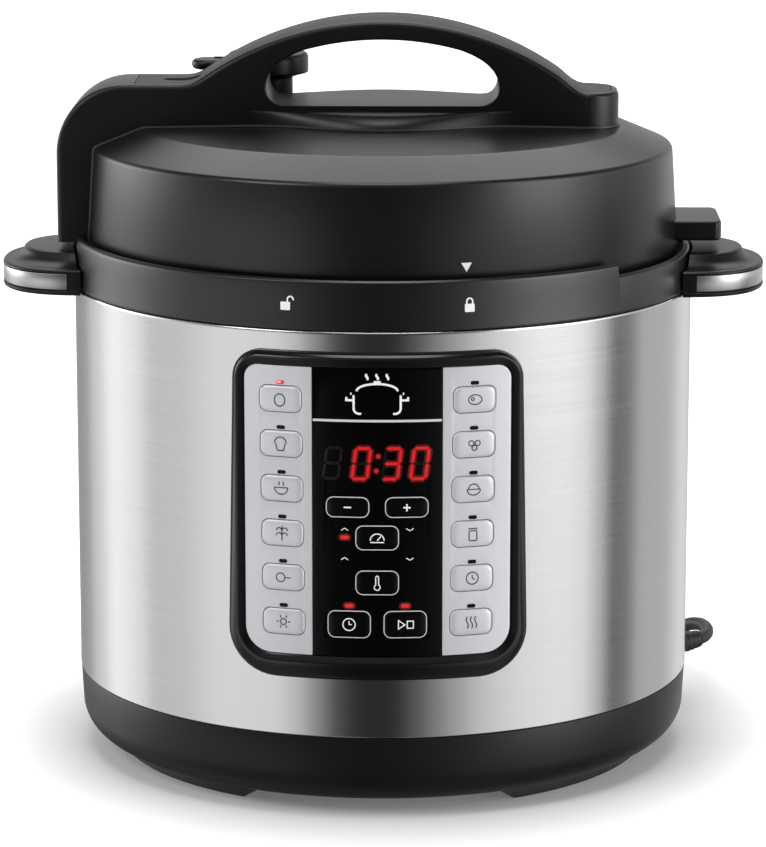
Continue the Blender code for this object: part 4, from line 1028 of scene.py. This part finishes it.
def make_face():
    """The window and the two strips, with an opening for each key."""
    face = face_outline(FACE_HALF - 0.3, 71.3, 192.5, 5.7, 10.7)
    stretches = (("strip_left", -1e3, -WINDOW_HALF - 0.2, SILVER, "silver_film"),
                 ("window", -WINDOW_HALF, WINDOW_HALF, GLOSS, "gloss_black"),
                 ("strip_right", WINDOW_HALF + 0.2, 1e3, SILVER, "silver_film"))
    for name, low, high, made_of, slot in stretches:
        outline = clipped(face, low, high)
        holes = [key_outline(*place, less=-0.3) for place in key_places().values() if low < place[0] < high]
        piece = wrapped(name, outline, 134.8, PANEL_R, made_of, 0.12, holes)
        settle(piece, "root", "panel_" + name, slot)


def make_lamps():
    """A lamp above each outer key, and three that glow in the window with painted glow rings round them."""
    lamps = Shape()
    for name, (middle, height, width, tall) in key_places().items():
        if abs(middle) > WINDOW_HALF:
            pill(lamps, middle, height + 6.9, 1.8, 0.8, RED_LAMP if name == "key_left_1" else GLOSS)
            if name == "key_left_1":
                pill(lamps, middle - 0.5, height + 7.05, 1.0, 0.5, HOT_LAMP, proud=0.26)
    places = key_places()
    for s, z in ((places["key_delay"][0], 92.9), (places["key_start"][0], 92.9), (-MARK_S, 121.8)):
        # painted glow: two wider, fainter rings round each window lamp
        for grown, made_of, proud in ((0.9, RED_PAINTED_GLOW, 0.03), (0.4, RED_PAINTED_HALO, 0.05), (0, RED_LAMP, 0.12)):
            pill(lamps, s, z, 1.8 + grown, 0.75 + grown, made_of, proud=proud)
    lamps.make("lamps", "root", slot="red_display")


def make_window_marks():
    """Chevrons beside the two middle keys, a line above the digits and a steaming pot above it."""
    marks = Shape()

    def place(x, y, up):
        return on_panel(x, y, PANEL_R + 0.04 * up)

    for z in (125.2, 112.8):
        for s, turn in ((-MARK_S, 1), (MARK_S, -1)):
            line = [(s - 1.5, z - 0.45 * turn), (s, z + 0.5 * turn), (s + 1.5, z - 0.45 * turn)]
            stroke(marks, line, 0.34, place, WHITE_INK)
    stroke(marks, [(x * 0.5, 170.7) for x in range(-53, 54, 2)], 1.0, place, GREY_INK)
    pot = [[(-9.6, 181.4), (-9.6, 176.6), *arc((-7.4, 175.9), 2.2, 180, 270, 6),
            *arc((7.4, 175.9), 2.2, 270, 360, 6), (9.6, 181.4)],
           [(-11, 182.0), (11, 182.0)], arc((0, 183.1), 8.4, 0, 180, 18, tall=0.36),
           [(-9.8, 179.3), (-12.6, 179.3), (-12.6, 180.6)], [(9.8, 179.3), (12.6, 179.3), (12.6, 180.6)],
           [(-1.4, 186.9), (1.4, 186.9)]]
    pot += [[(x + 0.4 * sin(t * pi / 3), 187.9 + 0.38 * t) for t in range(7)] for x in (-4.2, 0, 4.2)]
    for line in pot:
        stroke(marks, line, 0.9, place, WHITE_INK)
    marks.make("window_marks", "root", slot="gloss_black")


def make_digits():
    """An unlit digit, then 0:30."""
    digits = Shape()
    for left, shown in ((-23.0, ""), (-11.1, "0"), (1.4, "3"), (12.9, "0")):
        digit(digits, left, shown)
    for z in (149.9, 156.0):
        colon = -0.9 + DIGIT_LEAN * (z - DIGIT_BASE)
        # the colon's wider ring is a painted halo
        for size, top, made_of in ((0.8, 0.06, RED_ON), (1.3, 0.04, RED_PAINTED_HALO)):
            rings = [[on_panel(a, b, PANEL_R + up) for a, b in circle(colon, z, size, 0, 342, 19)]
                     for up in (-0.1, top)]
            digits.rings(rings, made_of)
    digits.make("display_digits", "root", slot="red_display")


def resampled(ring, count):
    """As many points as count, by adding points on the longest sides."""
    ring = [Vector(p) for p in ring]
    while len(ring) < count:
        gaps = [(ring[(n + 1) % len(ring)] - p).length for n, p in enumerate(ring)]
        n = gaps.index(max(gaps))
        ring.insert(n + 1, (ring[n] + ring[(n + 1) % len(ring)]) / 2)
    return ring


def clipped(outline, low, high):
    """The part of an outline between two distances round the panel."""
    made = []
    for n, (x, z) in enumerate(outline):
        x2, z2 = outline[(n + 1) % len(outline)]
        if low <= x <= high:
            made.append((x, z))
        for edge in (low, high):
            if (x - edge) * (x2 - edge) < 0:
                made.append((edge, z + (z2 - z) * (edge - x) / (x2 - x)))
    return made


make_keys()
make_bezel()
make_face()
make_lamps()
make_window_marks()
make_digits()


# ---------------------------------------------------------------- marks on the collar and the lid


def make_marks():
    """An open and a shut lock on the collar, and an arrow on the lid."""
    rim_r, rim_z, slope = 134.07, 227, 0.0485  # of the collar's outer face
    wide, tall = 0.82, 0.84  # scale of the locks

    marks = Shape()
    for azimuth, height, shift in ((16.2, 216.9, 0), (-16.2, 217.5, 2.6)):
        def place(x, y, up):
            z = height + tall * y
            radius = rim_r + (rim_z - z) * slope + 0.1 * up
            return azimuth_point(radius, azimuth + degrees(wide * x / 134.6), z)

        body = rounded(-2.5, 2.5, -2.6, 1.4, 0.4, steps=3)
        marks.rings([[place(x, y, up) for x, y in body] for up in (-1, 1)], WHITE_INK)
        shackle = arc((shift, 2.6), 1.5, 0, 180, 12)
        if shift:
            shackle = [(shift + 1.5, 2.3), *shackle, (shift - 1.5, 1.2)]
        else:
            shackle = [(1.5, 1.2), *shackle, (-1.5, 1.2)]
        stroke(marks, shackle, 0.75, place, WHITE_INK)
    marks.make("lock_marks", "root", slot="black_plastic")

    arrow = Shape()

    lid_r, lid_z, lean, turn, middle = 129, 220, 0.0645, 16.4, 232

    def lid_place(x, y, up):
        z = middle + y
        return azimuth_point(lid_r - (z - lid_z) * lean + 0.1 * up, turn + degrees(x / 128.6), z)

    triangle = (-2.25, 1.9), (0, -1.9), (2.25, 1.9)
    arrow.rings([[lid_place(x, y, up) for x, y in triangle] for up in (-1, 1)], WHITE_INK)
    arrow.make("lid_arrow", "lid", slot="black_plastic")


make_marks()


# ---------------------------------------------------------------- lid


STEAM_VALVE, FLOAT_VALVE = (-52, 42), (-87, 0)


def valve_holes(low, high, steam, made_of, sides=40):
    """Cutters for the holes of the steam valve and the float valve."""
    return [rod("hole", *place, low, high, radius, made_of, sides)
            for place, radius in ((STEAM_VALVE, steam), (FLOAT_VALVE, 4))]


def lid_outer(grown=0.0):
    """The lid's outer line, from the axis down to its edge, or one that stands off from it."""
    return soften([(0, 277 + grown), (105.5, 275 + grown, 5), (126.03 + grown, 266.4 + 0.8 * grown, 2.8),
                   (129 + grown, 220)], steps=9)


def make_lid():
    outer = lid_outer()[:-1] + [(128.95, 221.2), (128.7, 220.4), (128.1, 220)]
    inner = [(126.9, 220), (126.6, 220.4), (124, 261.5), (104.5, 272.5), (0, 274.5)]
    cover = Shape().lathe(outer + inner, LID_BLACK, turns=all_round(216)).make("lid_shell")
    boolean(cover, "DIFFERENCE", *valve_holes(260, 290, 8, LID_BLACK, 48), smooth=28)
    settle(cover, "lid", "lid_cover", "black_plastic")

    outline = soften([(120, -21), (145.4, -21, 2.4), (147, -17, 3), (147, 17, 3), (145.4, 21, 2.4),
                      (120, 21)], closed=True)
    tab = plate("lid_tab", outline, 226.7, 235.2, SATIN, 1.1)
    space = [(0, 250), (128, 250), (128, 215), (0, 215)]
    boolean(tab, "DIFFERENCE", Shape().lathe(space, SATIN).make("lid_space"))
    settle(tab, "lid", slot="black_plastic")

    wall = 1.5
    profile = soften([(0, 246), (98, 246, 8), (122.6, 240.4, 4), (125.8, 237, 3), (125.8, 216, 0.5),
                      (124.3, 216, 0.5), (124.3, 236.4, 3), (122.3, 239, 4), (97.8, 246 - wall, 8),
                      (0, 246 - wall)], steps=6)
    shape = Shape().lathe(profile, POLISHED)
    lugs(shape, 124.8, 119.4, 218.3, 220.8, POLISHED)
    dish = shape.make("lid_pan")
    boolean(dish, "DIFFERENCE", *valve_holes(235, 255, 5.5, POLISHED))
    settle(dish, "lid", "inner_lid", "polished_steel")
    ring = soften([(121, 235.5, 1), (121, 230, 1.5), (116, 226.6, 1), (108, 229.5, 0.4), (108.4, 230.1, 0.3),
                   (115.2, 230, 1.2), (118, 235.5, 1)], closed=True)
    Shape().lathe(ring, SILICONE).make("seal", "lid", "sealing_ring", slot="silicone")
    wire = Shape().lathe(arc((113, 233.6), 1.4, 0, 337.5, 15), POLISHED)
    wire.make("seal_wire", "lid", "ring_rack", slot="polished_steel")


make_lid()


# ---------------------------------------------------------------- lid handle and valves


HANDLE_HALF, GROOVE_HALF, STRIP_HALF = 21, 17.8, 17.35  # half widths
SWELL = [(60 * (n / 24 - 1), cos(pi / 2 * (n / 24 - 1)) ** 2) for n in range(49)]  # x and share of the bulge


def handle_top():
    """The line along the top of the handle, from the arm at the left to its right end."""
    arch = arc((0, 186), 135.4, 124.4, 55.6, 60)
    left = [(-107.5, 294), (-90, 294), (-86, 294.05), (-83, 294.4), (-80.5, 295.3)]
    right = [(78.3, 296.3), (80.6, 294.2), (83, 292.4), (85.4, 291.1), (87.6, 290.6), (89.6, 290.4)]
    return left + arch + right


def strip_line():
    """The part of the top that the strip covers."""
    return [(-107, 294), *handle_top()[1:], (100, 290.5)]


def offset_down(line, depth):
    moved = []
    for number, point in enumerate(line):
        before, after = line[max(0, number - 1)], line[min(len(line) - 1, number + 1)]
        along = Vector((after[0] - before[0], after[1] - before[1])).normalized()
        moved.append((point[0] + along.y * depth, point[1] - along.x * depth))
    return moved


def anticlockwise(line):
    area = sum(a[0] * b[1] - b[0] * a[1] for a, b in zip(line, line[1:] + line[:1]))
    return line if area > 0 else line[::-1]


def bend(start, corner, end, steps):
    """Points along a curve that leaves towards a corner and arrives from it."""
    shares = [n / steps for n in range(steps + 1)]
    return [tuple((1 - t) ** 2 * a + 2 * t * (1 - t) * b + t * t * c for a, b, c in zip(start, corner, end))
            for t in shares]


def make_handle():
    corner = arc((-111, 264), 30, 180, 90, 16)
    outline = [(-121, 223), (-141, 223)] + corner + handle_top() + [(89.6, 262), (-121, 262)]
    handle = upright("handle", anticlockwise(outline), -HANDLE_HALF, HANDLE_HALF, SATIN, 2.2)
    end = plate("end", rounded(66, 102.3, -20.97, 20.97, 15, steps=14), 261, 290.5, SATIN, 2.2, steps=5)
    levels = [  # bulge and height in front, bulge and height behind
        (18.9, 262, 18.9, 262), (18.9, 274, 18.9, 276), (18.4, 277, 18.9, 279), (17.2, 279.2, 18.9, 281),
        (15.6, 280.8, 18.8, 282.5), (13.4, 281.9, 18.6, 283.6), (11.5, 282.4, 18.2, 284.4),
        (9.5, 282.6, 17.6, 285), (0, 282.8, 16.8, 285.3), (-1, 285.5, 15.8, 285.5)]
    rings = []
    for bulge, z, behind, rear_z in levels:
        front = [(x, -20.9 - bulge * out, z) for x, out in SWELL]
        back = [(-x, 20.9 + behind * out, rear_z) for x, out in SWELL]
        rings.append(front + back)
    deck = Shape().rings(rings, SATIN).make("deck")
    boolean(handle, "UNION", end, deck)
    shoulder = bend((34, 308.7), (49.8, 303), (50, 293.5), 14)
    shoulder += bend((50, 293.5), (50, 285), (40.5, 285), 12)[1:]
    line = [(-x, z) for x, z in shoulder[::-1]] + arc((0, 186), 127.35, 105.0, 75.0, 30) + shoulder
    flare = [(60, 1.5), (21.4, 1.1), (20.8, 0.5), (20, 0.12), (19, 0)]
    flare = [(-y, grown) for y, grown in flare] + flare[::-1]
    rings = [[(x * (1 + grown / 50), y, z + grown * max(0, (z - 290) / 20)) for x, z in line]
             for y, grown in flare]
    boolean(handle, "DIFFERENCE", Shape().rings(rings, GRIP_BLACK).make("opening"))
    clearance = Shape().lathe([*lid_outer(0.25), (129.25, 200), (0, 200)], SATIN,
                              turns=all_round(216)).make("lid_space")
    bottom = boxed("below", (-160, -60, 190), (160, 60, 225.3), SATIN)
    boolean(handle, "DIFFERENCE", clearance, bottom)

    strip = strip_line()
    above = [(x, z + 3) for x, z in strip]
    below = offset_down(strip, 2.3)
    groove = [(-107.3, 297)] + above[1:-1] + [(99.3, 293.5), (99.3, below[-1][1])] + below[1:-1][::-1]
    groove += [(-107.3, below[0][1])]
    cutter = upright("groove", anticlockwise(groove), -GROOVE_HALF, GROOVE_HALF, SATIN)
    plan = rounded(-107.3, 99.3, -GROOVE_HALF, GROOVE_HALF, 11.8, steps=12)
    plan = plate("groove_plan", plan, 270, 340, SATIN)
    boolean(plan, "UNION", boxed("square_end", (-108, -18, 270), (-80, 18, 340), SATIN))
    boolean(cutter, "INTERSECT", plan)
    float_hole = rod("hole", *FLOAT_VALVE, 260, 300, 4, SATIN)
    recess = [[(x, y, z) for x, y in arc(FLOAT_VALVE, 8.6, 0, 352.5, 47, tall=0.6)] for z in (288.4, 300)]
    boolean(handle, "DIFFERENCE", cutter, float_hole, Shape().rings(recess, SATIN).make("recess"), smooth=24)
    settle(handle, "lid", "lid_handle", "black_plastic")


def make_flange():
    """The thin edge that runs round the foot of the handle on the lid, lighter grey as a painted highlight
    along it.
    """
    half, bulge = HANDLE_HALF + 0.7, 18.4
    round_end = rounded(60, 103, -half, half, 15.7)
    plan = [(-132, -half), *[(x, -half - bulge * out) for x, out in SWELL], *round_end[-9:], *round_end[:9],
            *[(-x, half + bulge * out) for x, out in SWELL], (-132, half)]
    flange = plate("flange", plan, 225.3, 285, PAINTED_HIGHLIGHT_EDGE)
    shell = Shape().lathe([*lid_outer(1.0), (130, 220), (0, 220)], PAINTED_HIGHLIGHT_EDGE).make("flange_shell")
    boolean(flange, "INTERSECT", shell)
    inner = Shape().lathe([*lid_outer(0.2), (129.2, 200), (0, 200)], PAINTED_HIGHLIGHT_EDGE).make("flange_space")
    boolean(flange, "DIFFERENCE", inner)
    settle(flange, "lid", slot="black_plastic")


def make_inlay():
    """The strip let into the top of the handle, with the window of the float valve."""
    strip = strip_line()
    lower = offset_down(strip, 1.95)
    inlay_line = [(-107, 294)] + strip[1:-1] + [(99, 290.5), (99, 288.5)] + lower[1:-1][::-1] + [(-107, 292)]
    inlay = upright("inlay", anticlockwise(inlay_line), -STRIP_HALF, STRIP_HALF, INLAY_BLACK, 0.35)
    plan = plate("inlay_plan", rounded(-107, 99, -17.5, 17.5, 11.5, steps=12), 270, 340, INLAY_BLACK)
    boolean(plan, "UNION", boxed("square_end", (-107, -17.5, 270), (-80, 17.5, 340), INLAY_BLACK))
    boolean(inlay, "INTERSECT", plan)
    rim = []
    for grown, z in ((0.9, 296), (0.9, 294.2), (0.0, 293.3), (0.0, 288)):
        long, short = 8 + grown, 4.4 + grown
        rim.append([(x, y, z) for x, y in arc(FLOAT_VALVE, long, 0, 352.5, 47, tall=short / long)])
    boolean(inlay, "DIFFERENCE", Shape().rings(rim, INLAY_BLACK).make("window_hole"), smooth=24)
    settle(inlay, "lid", "handle_inlay", "black_plastic")


def make_knob():
    """The steam knob: a round cap with a paddle to the left and a ridge along it."""
    knob = soften([(0, 301.5), (18, 301.5, 2.5), (18, 292.5, 0.8), (11, 290.5, 1), (11, 276.5, 0.5),
                   (5.8, 276.5, 0.3), (5.8, 289.5), (0, 289.5)])
    shape = Shape().lathe(knob, SATIN, turns=all_round(96), centre=STEAM_VALVE)
    levels = [(2.6, 293.6), (1.2, 293.9), (0.4, 294.6), (0, 295.6), (0, 296.6), (0.5, 297.6), (1.4, 298.2),
              (3, 298.5)]
    x, y = STEAM_VALVE
    rings = []
    for less, z in levels:
        line = [(x, y - 9 + less), (x, y + 9 - less)] + arc((x - 27, y), 7 - less, 90, 270, 16)
        rings.append([(*p, z) for p in line])
    shape.rings(rings, SATIN)
    ridge = rounded(x - 24, x - 12, y - 0.6, y + 0.6, 0.5, steps=4)
    shape.rings([[(*p, z) for p in ridge] for z in (298.4, 299.1)], SATIN)
    shape.make("steam_knob", "steam_valve", "steam_valve", slot="black_plastic")


def make_valves():
    turns = all_round(96)
    pipe = [(5.2, 288.6), (5.2, 238), (1.8, 238), (1.8, 289), (4.8, 289)]
    shield = soften([(0, 229), (8.6, 229, 1), (12, 232.4, 1), (12, 244.2), (13, 244.2), (13, 232, 1),
                     (9, 228, 1), (0, 228)])
    pin = soften([(0, 286.5), (2.6, 286.5, 0.9), (2.6, 236, 0.3), (6, 236, 0.5), (6, 233, 0.5), (0, 233)])
    washer = arc((4.4, 237.3), 1.4, 0, 330, 11, tall=0.7)
    for name, profile, centre, body, node_name, made_of, slot in (
        ("steam_tube", pipe, STEAM_VALVE, "lid", "steam_pipe", POLISHED, "polished_steel"),
        ("pipe_guard", shield, STEAM_VALVE, "lid", "anti_block_shield", POLISHED, "polished_steel"),
        ("float_pin", pin, FLOAT_VALVE, "float_valve", "float_valve", POLISHED, "polished_steel"),
        ("float_washer", washer, FLOAT_VALVE, "float_valve", "float_seal", SILICONE, "silicone"),
    ):
        shape = Shape().lathe(profile, made_of, turns=turns, centre=centre)
        shape.make(name, body, node_name, slot=slot)


make_handle()
make_flange()
make_inlay()
make_knob()
make_valves()


# ---------------------------------------------------------------- condensation cup


def make_cup():
    levels = [  # inset and height, up the outside, over the rim and down the inside
        (1.6, 159), (0.5, 159.2), (0.1, 159.8), (0, 160.6), (0, 199.4), (0.3, 200), (1.3, 200), (1.6, 199.6),
        (1.6, 162), (2.0, 161), (3.2, 160.6)]
    rings = []
    for less, z in levels:
        corners = max(0.6, 4 - less), max(0.4, 1.5 - less)
        outline = rounded(-31 + less, 31 - less, 119.5 + less, 142.4 - less, *corners, steps=6)
        rings.append([(x, y, z) for x, y in outline])
    shape = Shape().rings(rings, CLEAR)
    shape.make("drip_cup", "condensation_cup", "condensation_cup", slot="clear_plastic")


make_cup()

for name, made_of in (
    ("cup_niche", SATIN), ("control_board", BOARD), ("power_board", BOARD), ("display_module", GLOSS),
    ("pressure_switch", SATIN), ("lid_position_slider", SATIN),
):
    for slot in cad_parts[name].material_slots:
        slot.material = made_of
